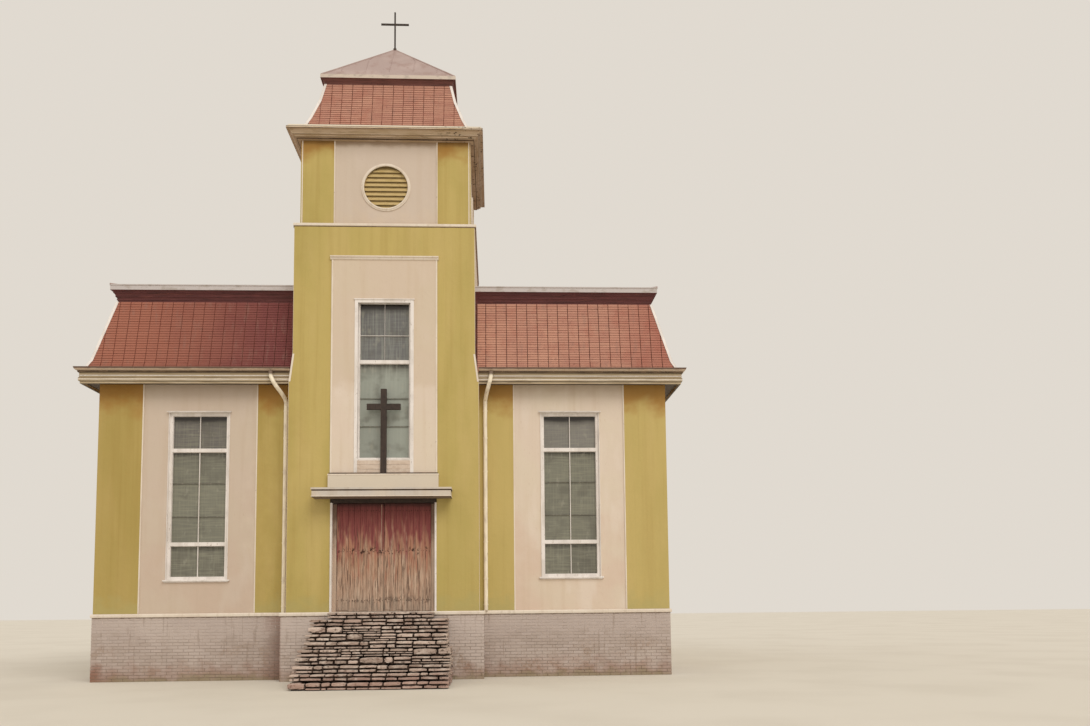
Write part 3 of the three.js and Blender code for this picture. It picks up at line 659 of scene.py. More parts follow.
def ochre_render(name, stained_from, stained_to, sides=0.0):
    """Ochre limewash on lime render: softly clouded, orange-brown where damp sits. The sides may be cream."""
    material, tree = start_material(name)
    colour = coats(
        tree, "#c0ac69",
        ("#b3a25d", patches(tree, 1.1, 0.42, 0.62, 3), 0.7),
        ("#c6b072", patches(tree, 0.6, 0.45, 0.7, 5), 0.6),
        ("#a68d4a", patches(tree, 0.16, 0.45, 0.72, 26), 0.3),
        ("#96793c", patches(tree, 0.045, 0.58, 0.78, 60), 0.16),
        # Painted shade on the left and painted light on the right, as the light falls from the right.
        ("#9d8142", rise(tree, -1.5, -3.5, 0.3, axis="X"), 0.4),
        ("#c9b277", rise(tree, 1.0, 3.0, 0.3, axis="X"), 0.3),
        ("#a06a26", rise(tree, stained_from, stained_to, 0.25, 0.5), 0.7),
        # Painted shadow under the tower's cornice, across the top of the belfry.
        ("#6f5128", rise(tree, 12.88, 13.03, 0.03), 0.7),
        ("#aea56e", rise(tree, FLOOR_LEVEL + 0.5, FLOOR_LEVEL, 0.2), 0.5),
        ("#dccdb8", facing(tree, (1, 0, 0)), sides),
        ("#dccdb8", facing(tree, (-1, 0, 0)), sides),
    )
    relief = relief_of(tree, (uneven(tree, 0.3), 3.0), (uneven(tree, 0.012), 0.8))
    return end_material(material, colour, 0.9, relief)


def cream_render():
    """Cream limewash on lime render: pinker low down, yellower high up, the trowel's waves just showing."""
    material, tree = start_material("cream limewash")
    colour = coats(
        tree, "#ddcdbd",
        ("#d6bfac", rise(tree, 5.0, 2.0, 0.8), 0.8),
        ("#dccfbb", patches(tree, 1.4, 0.42, 0.62), 0.6),
        ("#cdb89f", patches(tree, 0.2, 0.48, 0.72, 22), 0.35),
        ("#e2d4c6", patches(tree, 0.5, 0.5, 0.68, 3), 0.6),
        ("#bfa88b", rise(tree, 6.75, 7.05, 0.1), 0.3),
        ("#c2ab92", patches(tree, 0.04, 0.64, 0.75, 3), 0.3),
        # Painted shade on the left, away from the light.
        ("#b9a797", rise(tree, -1.5, -3.5, 0.4, axis="X"), 0.5),
        ("#c9bbb1", rise(tree, 10.5, 11.5, 0.3), 0.5),
        # Painted shadow under the tower's cornice, across the top of the belfry.
        ("#8a6f52", rise(tree, 12.86, 13.02, 0.03), 0.7),
    )
    relief = relief_of(tree, (uneven(tree, 0.35), 3.0), (uneven(tree, 0.012), 0.8))
    return end_material(material, colour, 0.9, relief)


left_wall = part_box("nave_wall_left")
right_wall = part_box("nave_wall_right")
wall_low = Vector((left_wall[0].x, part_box("nave_front_wall_left")[0].y, FLOOR_LEVEL))
wall_high = Vector((right_wall[1].x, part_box("nave_rear_wall")[1].y, left_wall[1].z))
tower_low, tower_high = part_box("tower_front_upper_wall")
NAVE_HALF = wall_high.x
TOWER_HALF = tower_high.x
NAVE_FRONT, NAVE_BACK = wall_low.y, wall_high.y
side_fields = [sum(corner.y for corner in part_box(f"window_frame_right_{i}")) / 2 for i in (1, 2, 3)]


def rounded_band(out, low, high, edge, back=-0.01):
    """The profile of a flat band with its outer edges broken, let a little into what it lies on."""
    face = [(out - edge, low), (out, low + edge), (out, high - edge), (out - edge, high)]
    return [(back, low), *face, (back, high)]


def corner_path(x, y, along_x, along_y):
    """A path round one corner of a plan, from one face to the next, with its outside to the right."""
    points = [(x - math.copysign(along_x, x), y), (x, y), (x, y + (along_y if y < 0 else -along_y))]
    return points if (x > 0) == (y < 0) else points[::-1]


strips, beads = bmesh.new(), bmesh.new()
strip_band = rounded_band(STRIP_OUT, FLOOR_LEVEL, wall_high.z, STRIP_EDGE)
bead_band = rounded_band(BEAD_OUT, FLOOR_LEVEL, wall_high.z, BEAD_EDGE)
strip_ends = side_fields[0] - FIELD_HALF - NAVE_FRONT
for x in (-NAVE_HALF, NAVE_HALF):
    for y in (NAVE_FRONT, NAVE_BACK):
        mitred_run(strips, strip_band, corner_path(x, y, CORNER_STRIP, strip_ends))
runs = [
    [(-TOWER_HALF - TOWER_STRIP, NAVE_FRONT), (-TOWER_HALF, NAVE_FRONT)],
    [(TOWER_HALF, NAVE_FRONT), (TOWER_HALF + TOWER_STRIP, NAVE_FRONT)],
]
for first, second in zip(side_fields, side_fields[1:]):
    runs.append([(NAVE_HALF, first + FIELD_HALF), (NAVE_HALF, second - FIELD_HALF)])
    runs.append([(-NAVE_HALF, second - FIELD_HALF), (-NAVE_HALF, first + FIELD_HALF)])
for first, second in zip(REAR_FIELDS, REAR_FIELDS[1:]):
    runs.append([(second - FIELD_HALF, NAVE_BACK), (first + FIELD_HALF, NAVE_BACK)])
for run in runs:
    mitred_run(strips, strip_band, run)
for x in (TOWER_HALF + TOWER_STRIP, NAVE_HALF - CORNER_STRIP):
    for side in (-1, 1):
        inward = BEAD_WIDTH if (x > TOWER_HALF + 1) == (side > 0) else 0
        start = side * x - inward
        mitred_run(beads, bead_band, [(start, NAVE_FRONT), (start + BEAD_WIDTH, NAVE_FRONT)])
for centre in side_fields:
    for side in (-1, 1):
        for start in (centre - FIELD_HALF, centre + FIELD_HALF - BEAD_WIDTH):
            ends = [(side * NAVE_HALF, start), (side * NAVE_HALF, start + BEAD_WIDTH)]
            mitred_run(beads, bead_band, ends[::side])
cream = cream_render()
settle("ochre_render", piece_of("wall_strips", strips, ochre_render("ochre limewash, nave", 6.2, 6.85)))
settle("cream_render", piece_of("wall_field_beads", beads, whitened))
dress(cream, "nave_front_wall_left", "nave_front_wall_right", "nave_wall_left", "nave_wall_right")
dress(cream, "nave_rear_wall")

# The windows
# Fixed softwood frames in white oil paint: a casing and a thin hood outside, a sash for each light, narrow
# bars, and panes of old drawn glass in putty with drawn net curtains close behind them.

CASING_WIDTH, CASING_OUT = 0.014, 0.02
SASH_WIDTH, SASH_BACK = 0.01, 0.018
UPRIGHT_BACK = 0.03
CROSS_BAR_WIDTH, CROSS_BAR_BACK = 0.012, 0.044
FRAME_WIDTH, TOWER_FRAME_WIDTH = 0.07, 0.03
SETBACK, TOWER_SETBACK = 0.04, 0.06
TRANSOM_HALF = 0.04
NAVE_LIGHTS = {"transoms": (3.21, 5.462), "bars": (3.87, 4.67), "uprights": (0.018, 0.018, 0.015)}
TOWER_LIGHTS = {"transoms": (7.51,), "bars": (5.956, 6.629, 8.16), "uprights": (0.0, 0.007)}
PANE_THICK, PANE_LEAN, PANE_TWIST = 0.004, 0.003, 0.005
HOOD = {"beyond": 0.05, "bed": 0.012, "top": 0.03, "out": 0.075, "bed_out": 0.045, "bed_inset": 0.02}
SILL = {
    "beyond": 0.07, "above": 0.004, "below": 0.034, "bed": 0.055,
    "out": 0.06, "bed_out": 0.035, "bed_inset": 0.03,
}


def white_paint():
    """Oil paint on softwood: a soft sheen, yellowed, with grey streaks and bare wood where it has flaked."""
    material, tree = start_material("white oil paint")
    flakes = patches(tree, 0.03, 0.64, 0.7, 3)
    colour = coats(
        tree, "#ece6e2",
        ("#cfc6bc", patches(tree, 0.1, 0.45, 0.7, 8), 0.45),
        ("#97877a", flakes, 0.5),
        ("#d2cbc5", patches(tree, 0.5, 0.45, 0.6), 0.5),
    )
    relief = relief_of(tree, (flakes, -0.6), (uneven(tree, 0.01, 12), 0.3))
    return end_material(material, colour, 0.55, relief)


def curtained_glass(name, upper, lower, light, change, head, banding, low_rail):
    """Old drawn glass with a net curtain close behind it: glossy, uneven, grey-green, with painted shadow
    under its rails and head.
    """
    material, tree = start_material(name)
    folds = patches(tree, 0.035, 0.4, 0.7, 24)
    bands = patches(tree, 0.5, 0.4, 0.66, 0.06)
    below_rail = (low_rail + 0.02, low_rail - 0.02)
    above_change = (change - 0.02, change + 0.02)
    colour = coats(
        tree, lower,
        # Painted shadow under the upper transom.
        ("#5d5b51", rise(tree, change - 0.45, change, 0.05), 0.8),
        ("#1f1813", rise(tree, change - 0.17, change - 0.05, 0.02), 0.9),
        (upper, rise(tree, *above_change)),
        # Painted shadow over the lowest lights, deepest just under the lower rail.
        ("#5c594f", rise(tree, *below_rail), 0.4),
        ("#241d18", rise(tree, low_rail - 0.2, low_rail - 0.06, 0.02), rise(tree, *below_rail), 0.8),
        (light, folds, 0.35),
        (light, bands, banding),
        ("#5f5c52", patches(tree, 0.4, 0.5, 0.7), 0.45),
        ("#95938d", rise(tree, 2.0, 3.0, 0.1, axis="X"), rise(tree, *above_change), 0.4),
        ("#4d4a44", tone_of(tree), 0.25),
        ("#a3a193", patches(tree, 0.12, 0.58, 0.72, 2), 0.3),
        # Painted shadow under the head of the frame.
        ("#47443f", rise(tree, head - 0.26, head - 0.08, 0.03), 0.7),
        ("#1f1813", rise(tree, head - 0.16, head - 0.07, 0.02), 0.9),
    )
    relief = relief_of(tree, (patches(tree, 0.25, 0.2, 0.8), 0.8))
    return end_material(material, colour, 0.16, relief, {"IOR": 1.52})


def bar_putty():
    """Thin bars of lead and putty between panes: grey, with a dull sheen."""
    material, tree = start_material("lead and putty bars")
    colour = coats(tree, "#6f6b60", ("#9d968a", patches(tree, 0.05, 0.5, 0.65), 0.6))
    return end_material(material, colour, 0.6)


def outline_frame(shape, half, low, high, width, front, back, edge=0.003):
    """Adds a mitred frame of boards round an opening, drawn as a front face. Its width goes outwards."""
    band = rounded_band(width, -back, -front, edge, back=0.0)
    for vert in mitred_run(shape, band, rectangle(-half, low, half, high), closed=True):
        vert.co = (vert.co.x, -vert.co.z, vert.co.y)


def window_joinery(half, low, high, frame_width, lights, setback):
    """The casing and sashes of one window, and its cross bars, drawn as a front face on a wall at y = 0."""
    shape, bars = bmesh.new(), bmesh.new()
    outline_frame(shape, half, low, high, CASING_WIDTH, -CASING_OUT, setback - 0.002)
    back = setback + FRAME_WIDTH
    inner = half - frame_width
    clear = inner - SASH_WIDTH
    bottoms = [low + frame_width, *(z + TRANSOM_HALF for z in lights["transoms"])]
    tops = [*(z - TRANSOM_HALF for z in lights["transoms"]), high - frame_width]
    for bottom, top, upright in zip(bottoms, tops, lights["uprights"]):
        low_edge, high_edge = bottom + SASH_WIDTH, top - SASH_WIDTH
        outline_frame(shape, clear, low_edge, high_edge, SASH_WIDTH, setback + SASH_BACK, back)
        if upright:
            add_box(shape, (-upright / 2, setback + UPRIGHT_BACK, bottom), (upright / 2, back, top), 0.003)
    for z in lights["bars"]:
        size = CROSS_BAR_WIDTH / 2
        painted = z > lights["transoms"][-1]
        low_corner = (-inner, setback + CROSS_BAR_BACK, z - size)
        add_box(shape if painted else bars, low_corner, (inner, back, z + size), 0.003)
    return shape, bars


def window_panes(half, low, high, lights, depth, chance):
    """The panes of one window: each its own sheet, leaning by a hair, with its own tone."""
    shape = bmesh.new()
    tone = shape.verts.layers.float.new("tone")
    levels = sorted([low, high, *lights["transoms"], *lights["bars"]])
    for bottom, top in zip(levels, levels[1:]):
        for left, right in ((-half, 0), (0, half)):
            made = bmesh.ops.create_cube(shape, size=1)["verts"]
            lean = Matrix.Rotation(chance.uniform(-PANE_LEAN, PANE_LEAN), 4, "X")
            lean = lean @ Matrix.Rotation(chance.uniform(-PANE_TWIST, PANE_TWIST), 4, "Z")
            middle = Vector(((left + right) / 2, depth, (bottom + top) / 2))
            size = Vector((right - left, PANE_THICK, top - bottom))
            shade = chance.random()
            for vert in made:
                vert.co = middle + lean @ Vector([vert.co[i] * size[i] for i in range(3)])
                vert[tone] = shade
    return shape


def window_hood(shape, half, low, high):
    """The thin hood over a window and the sill under it, each on a narrower bed, drawn as a front face."""
    reach, bed = half + HOOD["beyond"], half + HOOD["beyond"] - HOOD["bed_inset"]
    add_box(shape, (-reach, -HOOD["out"], high + HOOD["bed"]), (reach, 0.01, high + HOOD["top"]), 0.004)
    add_box(shape, (-bed, -HOOD["bed_out"], high - 0.002), (bed, 0.01, high + HOOD["bed"]), 0.003)
    reach, bed = half + SILL["beyond"], half + SILL["beyond"] - SILL["bed_inset"]
    add_box(shape, (-reach, -SILL["out"], low - SILL["below"]), (reach, 0.05, low + SILL["above"]), 0.006)
    add_box(shape, (-bed, -SILL["bed_out"], low - SILL["bed"]), (bed, 0.01, low - SILL["below"]), 0.003)


paint = white_paint()
putty = bar_putty()
nave_glass = curtained_glass(
    "curtained glass, nave", "#6c6866", "#78786b", "#92917f", change=NAVE_LIGHTS["transoms"][1], head=6.3,
    banding=0.5, low_rail=NAVE_LIGHTS["transoms"][0],
)
tower_glass = curtained_glass(
    "curtained glass, tower", "#6a6a6b", "#a0a69d", "#adb2a8", change=TOWER_LIGHTS["transoms"][0], head=8.94,
    banding=0.12, low_rail=0.0,
)
window_quarters = {"front_left": 0, "front_right": 0, "tower": 0}
for side, quarter in (("right", 1), ("left", 3)):
    window_quarters.update({f"{side}_{i}": quarter for i in (1, 2, 3)})
for seed, (window, quarter) in enumerate(window_quarters.items(), 70):
    low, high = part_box(f"window_frame_{window}")
    of_tower = window == "tower"
    lights = TOWER_LIGHTS if of_tower else NAVE_LIGHTS
    setback = TOWER_SETBACK if of_tower else SETBACK
    width = TOWER_FRAME_WIDTH if of_tower else FRAME_WIDTH
    half = (high.x - low.x if quarter == 0 else high.y - low.y) / 2
    joinery, cross_bars = window_joinery(half, low.z, high.z, width, lights, setback)
    if not of_tower:
        window_hood(joinery, half, low.z, high.z)
    panes = window_panes(half, low.z, high.z, lights, setback + FRAME_WIDTH + PANE_THICK, random.Random(seed))
    wood = piece_of(f"window_joinery_{window}", joinery, paint)
    glass = piece_of(f"window_panes_{window}", panes, tower_glass if of_tower else nave_glass)
    bars = piece_of(f"window_bars_{window}", cross_bars, putty)
    place = face_of(low, high, quarter) @ Matrix.Translation((0, -setback, 0))
    for piece in (wood, glass, bars):
        piece.data.transform(place)
    settle("painted_joinery", wood, bars)
    settle("window_glass", glass)
    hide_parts(f"window_glass_{window}")
    dress(paint, f"window_frame_{window}")

# The tower
# Masonry under ochre render, a little narrower above the nave's eaves. Its front has a long cream field with
# a moulded hood, and the tall window stands in it in a boarded surround. White beads guard the corners.

TOWER_FIELD = {"half": 1.24, "top": 9.99, "out": 0.018}
FIELD_HOOD_HALF = 1.29
HOOD_PROFILE = [
    (-0.01, 0.0), (0.035, 0.0), (0.045, 0.02), (0.045, 0.045), (0.075, 0.06), (0.075, 0.085), (-0.01, 0.095),
]
FIELD_BEAD_HALF, FIELD_BEAD_OUT = 0.02, 0.028
SURROUND = {"half": 0.7, "top": 9.006, "bottom": 4.80, "out": 0.034}
SURROUND_HOOD = {"half": 0.72, "out": 0.055, "tall": 0.022}
TOWER_SILL_HALF, TOWER_SILL_OUT = 0.62, 0.042
SPANDREL_BOARDS, SPANDREL_PITCH, SPANDREL_OUT, SPANDREL_BACK, SPANDREL_GAP = 3, 0.107, 0.046, 0.03, 0.008
CORNER_BEAD = rectangle(-0.01, 0.002, 0.006, 0.05)
FLASHING = rectangle(-0.036, -0.006, 0.008, 0.01)
TOWER_FLARE, TOWER_UPPER_HALF = (7.0, 7.66), 2.155


def worn_white_paint():
    """Old white paint on softwood, worn thin and pink with the primer under it."""
    material, tree = start_material("white paint worn pink")
    colour = coats(
        tree, "#d0beae",
        ("#bca896", patches(tree, 0.12, 0.45, 0.68, 0.4), 0.6),
        ("#dccfc2", patches(tree, 0.05, 0.5, 0.65), 0.5),
    )
    return end_material(material, colour, 0.7)


def add_field(shape, outer, inner, front, back):
    """Adds a slab with an opening in it, drawn as a front face. Both outlines are (half width, low, high)."""
    outer_front, outer_back, inner_front, inner_back = (
        [shape.verts.new((x, y, z)) for x, z in rectangle(-half, low, half, high)]
        for half, low, high in (outer, inner) for y in (front, back)
    )
    join_rings(shape, [outer_front, inner_front, inner_back, outer_back], closed=True)


def add_bead(shape, line, side, section):
    """Adds a bead up one front corner of the tower. Its section is (across, deep) from the corner's line."""
    join_rings(shape, [
        [shape.verts.new((side * (x + across), tower_low.y + deep, z)) for across, deep in section]
        for x, z in line
    ])


tower_window_low, tower_window_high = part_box("window_frame_tower")
window_hole = (tower_window_high.x, tower_window_low.z, tower_window_high.z - 0.04)
canopy_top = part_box("door_canopy")[1].z
field = bmesh.new()
field_outline = (TOWER_FIELD["half"], canopy_top, TOWER_FIELD["top"])
surround_outline = (SURROUND["half"], SURROUND["bottom"], SURROUND["top"])
add_field(field, field_outline, surround_outline, -TOWER_FIELD["out"], 0.01)
tower_field = piece_of("tower_field", field, cream)
trim, corner_beads = bmesh.new(), bmesh.new()
mitred_run(trim, HOOD_PROFILE, [(-FIELD_HOOD_HALF, 0), (FIELD_HOOD_HALF, 0)], level=TOWER_FIELD["top"])
corner_line = [
    (TOWER_HALF, FLOOR_LEVEL), (TOWER_HALF, TOWER_FLARE[0]), (TOWER_UPPER_HALF, TOWER_FLARE[1]),
    (TOWER_UPPER_HALF, tower_high.z - 0.01),
]
flashing_line = [(TOWER_HALF, TOWER_FLARE[0] + 0.02), (TOWER_UPPER_HALF, TOWER_FLARE[1] + 0.03)]
for side in (-1, 1):
    x = side * TOWER_FIELD["half"]
    low = (x - FIELD_BEAD_HALF, -FIELD_BEAD_OUT, canopy_top)
    add_box(trim, low, (x + FIELD_BEAD_HALF, 0.01, TOWER_FIELD["top"]), 0.006)
    add_bead(corner_beads, corner_line, side, CORNER_BEAD)
    add_bead(corner_beads, flashing_line, side, FLASHING)
tower_trim = piece_of("tower_field_hood", trim, whitened)
tower_beads = piece_of("tower_corner_beads", corner_beads, whitened)
surround, spandrel = bmesh.new(), bmesh.new()
add_field(surround, surround_outline, window_hole, -SURROUND["out"], 0.01)
hood_foot = (-SURROUND_HOOD["half"], -SURROUND_HOOD["out"], SURROUND["top"])
add_box(surround, hood_foot, (SURROUND_HOOD["half"], 0.01, SURROUND["top"] + SURROUND_HOOD["tall"]), 0.004)
sill_foot = (-TOWER_SILL_HALF, -TOWER_SILL_OUT, tower_window_low.z - 0.03)
add_box(surround, sill_foot, (TOWER_SILL_HALF, 0.05, tower_window_low.z + 0.002), 0.005)
for i in range(SPANDREL_BOARDS):
    z = SURROUND["bottom"] + 0.01 + i * SPANDREL_PITCH
    high = (TOWER_SILL_HALF, -SPANDREL_BACK, z + SPANDREL_PITCH - SPANDREL_GAP)
    add_box(spandrel, (-TOWER_SILL_HALF, -SPANDREL_OUT, z), high, 0.004)
window_spandrel = piece_of("tower_window_spandrel", spandrel, worn_white_paint())
window_surround = piece_of("tower_window_surround", surround, paint)
for piece in (tower_field, tower_trim, window_surround, window_spandrel):
    piece.data.transform(Matrix.Translation((0, tower_low.y, 0)))
settle("cream_render", tower_field, tower_trim, tower_beads)
settle("painted_joinery", window_surround, window_spandrel)
dress(
    ochre_render("ochre limewash, tower", 12.0, 13.0, 1.0), "tower_front_pier_left", "tower_front_pier_right",
    "tower_front_upper_wall", "tower_side_wall_left", "tower_side_wall_right", "tower_rear_wall",
)

# The belfry
# The tower's top storey, set in behind a sloping ledge: a cream field between ochre corner strips on each
# face, and a round louvre of sloping boards in a white ring.

BELFRY_HALF, BELFRY_FIELD_HALF = 2.033, 1.243
BELFRY_BEAD_WIDTH, BELFRY_BEAD_OUT = 0.024, 0.028
LEDGE_TOP, LEDGE_FOOT = 10.93, 10.802
LEDGE_PROFILE = [(-0.03, -0.07), (0.004, -0.07), (0.012, -0.062), (0.012, -0.012), (-0.03, 0.012)]
RING_PROFILE = [
    (0.0, 0.0), (0.0, 0.03), (0.012, 0.042), (0.034, 0.042), (0.044, 0.026), (0.07, 0.022), (0.07, 0.0),
]
RING_SIDES = 48
LOUVRE_INNER = 0.528
SLAT_COUNT, SLAT_DEPTH, SLAT_TILT = 9, 0.15, 1.05
LIP_TALL, LIP_THICK, LIP_OUT = 0.02, 0.012, 0.006


def louvre_boards():
    """Pine boards in ochre paint: yellow-brown, grimy in patches, with a painted shade on the faces that look
    down.
    """
    material, tree = start_material("ochre painted boards")
    colour = coats(
        tree, "#cab17c",
        ("#b39a5c", patches(tree, 0.25, 0.45, 0.65, 0.1), 0.6),
        ("#8a6f3d", patches(tree, 0.05, 0.6, 0.7), 0.5),
        # Painted shade on the boards' undersides and lower edges.
        ("#4a3a22", facing(tree, (0, 0, -1)), 0.8),
    )
    return end_material(material, colour, 0.75, relief_of(tree, (uneven(tree, 0.2, 0.03), 0.8)))


def open_joint_shade():
    """Painted shadow and grime in one dark colour: the line under a ledge, lip, gutter or board, and in an
    open joint.
    """
    material, tree = start_material("dirt in open joints")
    colour = coats(tree, "#4f3e31", ("#6e5945", patches(tree, 0.3, 0.45, 0.65, 0.3)))
    return end_material(material, colour, 0.95)


def joint_shade_line(tall, out=0.0):
    """The profile of a dark line of painted shadow and grime, so tall, on a face that stands so far out."""
    return rounded_band(out + 0.003, 0.0, tall, 0.001, out - 0.01)


def on_four_sides(name, shape, finish, middle):
    """Makes one piece of a shape, drawn before the origin, that is copied to the four sides of a middle."""
    single = mesh_of("single", shape)
    four = bmesh.new()
    for quarter in range(4):
        turned = single.copy()
        turned.transform(Matrix.Translation(middle) @ quarter_turn(quarter))
        four.from_mesh(turned)
    return piece_of(name, four, finish)


belfry_low, belfry_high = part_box("belfry_walls")
louvre_low, louvre_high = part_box("belfry_louvre_front")
belfry_middle = (belfry_low + belfry_high) / 2
louvre_middle = (belfry_middle.x, belfry_middle.y, (louvre_low.z + louvre_high.z) / 2)
belfry_strips, belfry_trim, joints = bmesh.new(), bmesh.new(), bmesh.new()
strip_band = rounded_band(STRIP_OUT, LEDGE_TOP, belfry_high.z, STRIP_EDGE)
bead_band = rounded_band(BELFRY_BEAD_OUT, LEDGE_TOP, belfry_high.z, 0.004)
bead_starts = (
    -BELFRY_HALF + 0.001, -BELFRY_FIELD_HALF - BELFRY_BEAD_WIDTH / 2,
    BELFRY_FIELD_HALF - BELFRY_BEAD_WIDTH / 2, BELFRY_HALF - BELFRY_BEAD_WIDTH - 0.001,
)
corner = [
    (BELFRY_FIELD_HALF, -BELFRY_HALF, 0), (BELFRY_HALF, -BELFRY_HALF, 0),
    (BELFRY_HALF, -BELFRY_FIELD_HALF, 0),
]
for quarter in range(4):
    turn = Matrix.Translation(belfry_middle) @ quarter_turn(quarter)
    mitred_run(belfry_strips, strip_band, [(turn @ Vector(point)).xy for point in corner])
    for x in bead_starts:
        ends = [(turn @ Vector((x + size, -BELFRY_HALF, 0))).xy for size in (0, BELFRY_BEAD_WIDTH)]
        mitred_run(belfry_trim, bead_band, ends)
ledge_outline = rectangle(*belfry_low.xy, *belfry_high.xy)
mitred_run(belfry_trim, LEDGE_PROFILE, ledge_outline, closed=True, level=LEDGE_TOP - 0.01)
# A painted shadow line under the ledge.
mitred_run(joints, joint_shade_line(0.042), ledge_outline, closed=True, level=LEDGE_FOOT)
# Painted shadow and grime for the dark lines under ledges, lips and boards.
shade_and_dirt = open_joint_shade()
belfry_ochre = ochre_render("ochre limewash, belfry", 12.45, 13.0)
settle("ochre_render", piece_of("belfry_strips", belfry_strips, belfry_ochre))
settle("cream_render", piece_of("belfry_beads", belfry_trim, whitened))
settle("dark_timber", piece_of("belfry_ledge_shade", joints, shade_and_dirt))
ring = bmesh.new()
angles = [2 * math.pi * i / RING_SIDES for i in range(RING_SIDES)]
circle = [(LOUVRE_INNER * math.cos(a), LOUVRE_INNER * math.sin(a)) for a in angles]
for vert in mitred_run(ring, RING_PROFILE, circle, closed=True):
    vert.co = (vert.co.x, -vert.co.z - BELFRY_HALF, vert.co.y)
settle("painted_joinery", on_four_sides("louvre_rings", ring, whitened, louvre_middle))
lips = bmesh.new()
slat_pitch = 2 * LOUVRE_INNER / SLAT_COUNT
slat_front = (louvre_low.y + louvre_high.y) / 2 - SLAT_DEPTH / 2 * math.cos(SLAT_TILT) - belfry_middle.y
for i in range(1, SLAT_COUNT):
    z = (i + 0.5) * slat_pitch - LOUVRE_INNER - SLAT_DEPTH / 2 * math.sin(SLAT_TILT)
    reach = math.sqrt(LOUVRE_INNER ** 2 - max(abs(z), abs(z - LIP_TALL)) ** 2) - 0.002
    low = (-reach, slat_front - LIP_OUT, z - LIP_TALL)
    add_box(lips, low, (reach, slat_front - LIP_OUT + LIP_THICK, z + 0.004), 0.003)
slat_paint = louvre_boards()
settle("louvre_boards", on_four_sides("louvre_drip_lips", lips, slat_paint, louvre_middle))
dress(slat_paint, *(f"belfry_louvre_{side}" for side in ("front", "right", "rear", "left")))
dress(cream, "belfry_walls")

# The entrance door
# Two leaves of upright softwood boards, once maroon. The paint is left only near the top, where the canopy
# keeps the rain off. Below it the wood is grey-brown, cracked and split, with rows of rusty nails.

BOARDS_A_LEAF = 8
BOARD_OUT, BOARD_GAP = 0.014, 0.002
BOARD_FEET = (0.0, 0.0, 0.006, 0.02, 0.035)
REBATE = 0.011
NAIL_LEVELS = (1.845, 2.995, 3.95)
NAIL_RADIUS, NAIL_TALL = 0.011, 0.006
MEETING_BEAD = {"low": 2.98, "high": 4.1, "from": 0.06, "to": 0.042, "out": 0.006}
CASING_BOARD = 0.034


def weathered_door_boards():
    """Bare weathered pine under the last of a maroon paint: long dark cracks, silver grain, rust at nails."""
    material, tree = start_material("weathered pine boards")
    cracks = patches(tree, 0.018, 0.555, 0.64, 22, 5)
    grain = patches(tree, 0.022, 0.38, 0.66, 24, 5)
    paint_left = rise(tree, 2.85, 3.7, 0.6, 0.08, 6)
    blots = patches(tree, 0.06, 0.525, 0.6, 1.8, 2)
    low_row, high_row = (
        (rise(tree, level - 0.12, level - 0.02, 0.03, 0.1), rise(tree, level + 0.12, level + 0.02, 0.03, 0.1))
        for level in NAIL_LEVELS[:2]
    )
    colour = coats(
        tree, "#bda18c",
        ("#8a705f", grain, 0.85),
        ("#cdb6a1", patches(tree, 0.04, 0.5, 0.68, 14), 0.7),
        ("#a8785a", tone_of(tree), rise(tree, 1.9, 2.8, 0.3), 0.6),
        ("#a3614b", rise(tree, 2.4, 3.3, 0.9, 0.07, 8), 0.5),
        ("#7f3f3f", paint_left),
        ("#965550", paint_left, grain, 0.7),
        ("#6a3434", rise(tree, 3.75, 4.08, 0.05), 0.6),
        # Painted shadow: a dark band along the top of the leaves, under the canopy.
        ("#3a211d", rise(tree, 4.0, 4.11, 0.02), 0.75),
        ("#4b3529", cracks, rise(tree, 4.1, 2.7, 0.4), 0.75),
        ("#46301f", blots, *low_row, 0.6),
        ("#43251a", blots, *high_row),
        ("#8d8478", rise(tree, 2.0, 1.6, 0.25, 0.06, 8), 0.4),
    )
    return end_material(material, colour, 0.82, relief_of(tree, (cracks, -3.0), (grain, 0.8)))


def bare_pine_bead():
    """A pine bead with its paint gone: pinkish-brown, streaked darker."""
    material, tree = start_material("bare pine bead")
    colour = coats(tree, "#ad8c7e", ("#7d564c", patches(tree, 0.03, 0.5, 0.65, 5), 0.7))
    return end_material(material, colour, 0.8)


def rusty_iron():
    """Wrought iron rusted brown all over."""
    material, tree = start_material("rusted iron")
    colour = coats(tree, "#3a2d27", ("#6b4027", patches(tree, 0.02, 0.45, 0.65), 0.7))
    return end_material(material, colour, 0.8, relief_of(tree, (uneven(tree, 0.008), 0.5)), {"Metallic": 0.4})


def frame_paint_and_shade():
    """The door's frame: old tan paint over softwood, with a painted shade that deepens towards its head under
    the canopy.
    """
    material, tree = start_material("old tan frame paint")
    colour = coats(
        tree, "#bda692",
        ("#d2c0ae", patches(tree, 0.05, 0.5, 0.68, 20), 0.5),
        ("#8d7665", patches(tree, 0.2, 0.5, 0.7, 6), 0.5),
        # Painted shade, deepening upwards, and a painted shadow line at the head.
        ("#6d5244", rise(tree, 2.9, 3.7, 0.3), 0.8),
        ("#54443a", rise(tree, 4.115, 4.13)),
        ("#3b2d27", rise(tree, 4.145, 4.125), rise(tree, 4.1, 4.115)),
    )
    return end_material(material, colour, 0.7, relief_of(tree, (uneven(tree, 0.01, 14), 0.4)))


def take_in(shape, piece):
    """Adds a laid piece to a larger shape and takes it out of the scene."""
    shape.from_mesh(piece.data)
    bpy.data.objects.remove(piece)


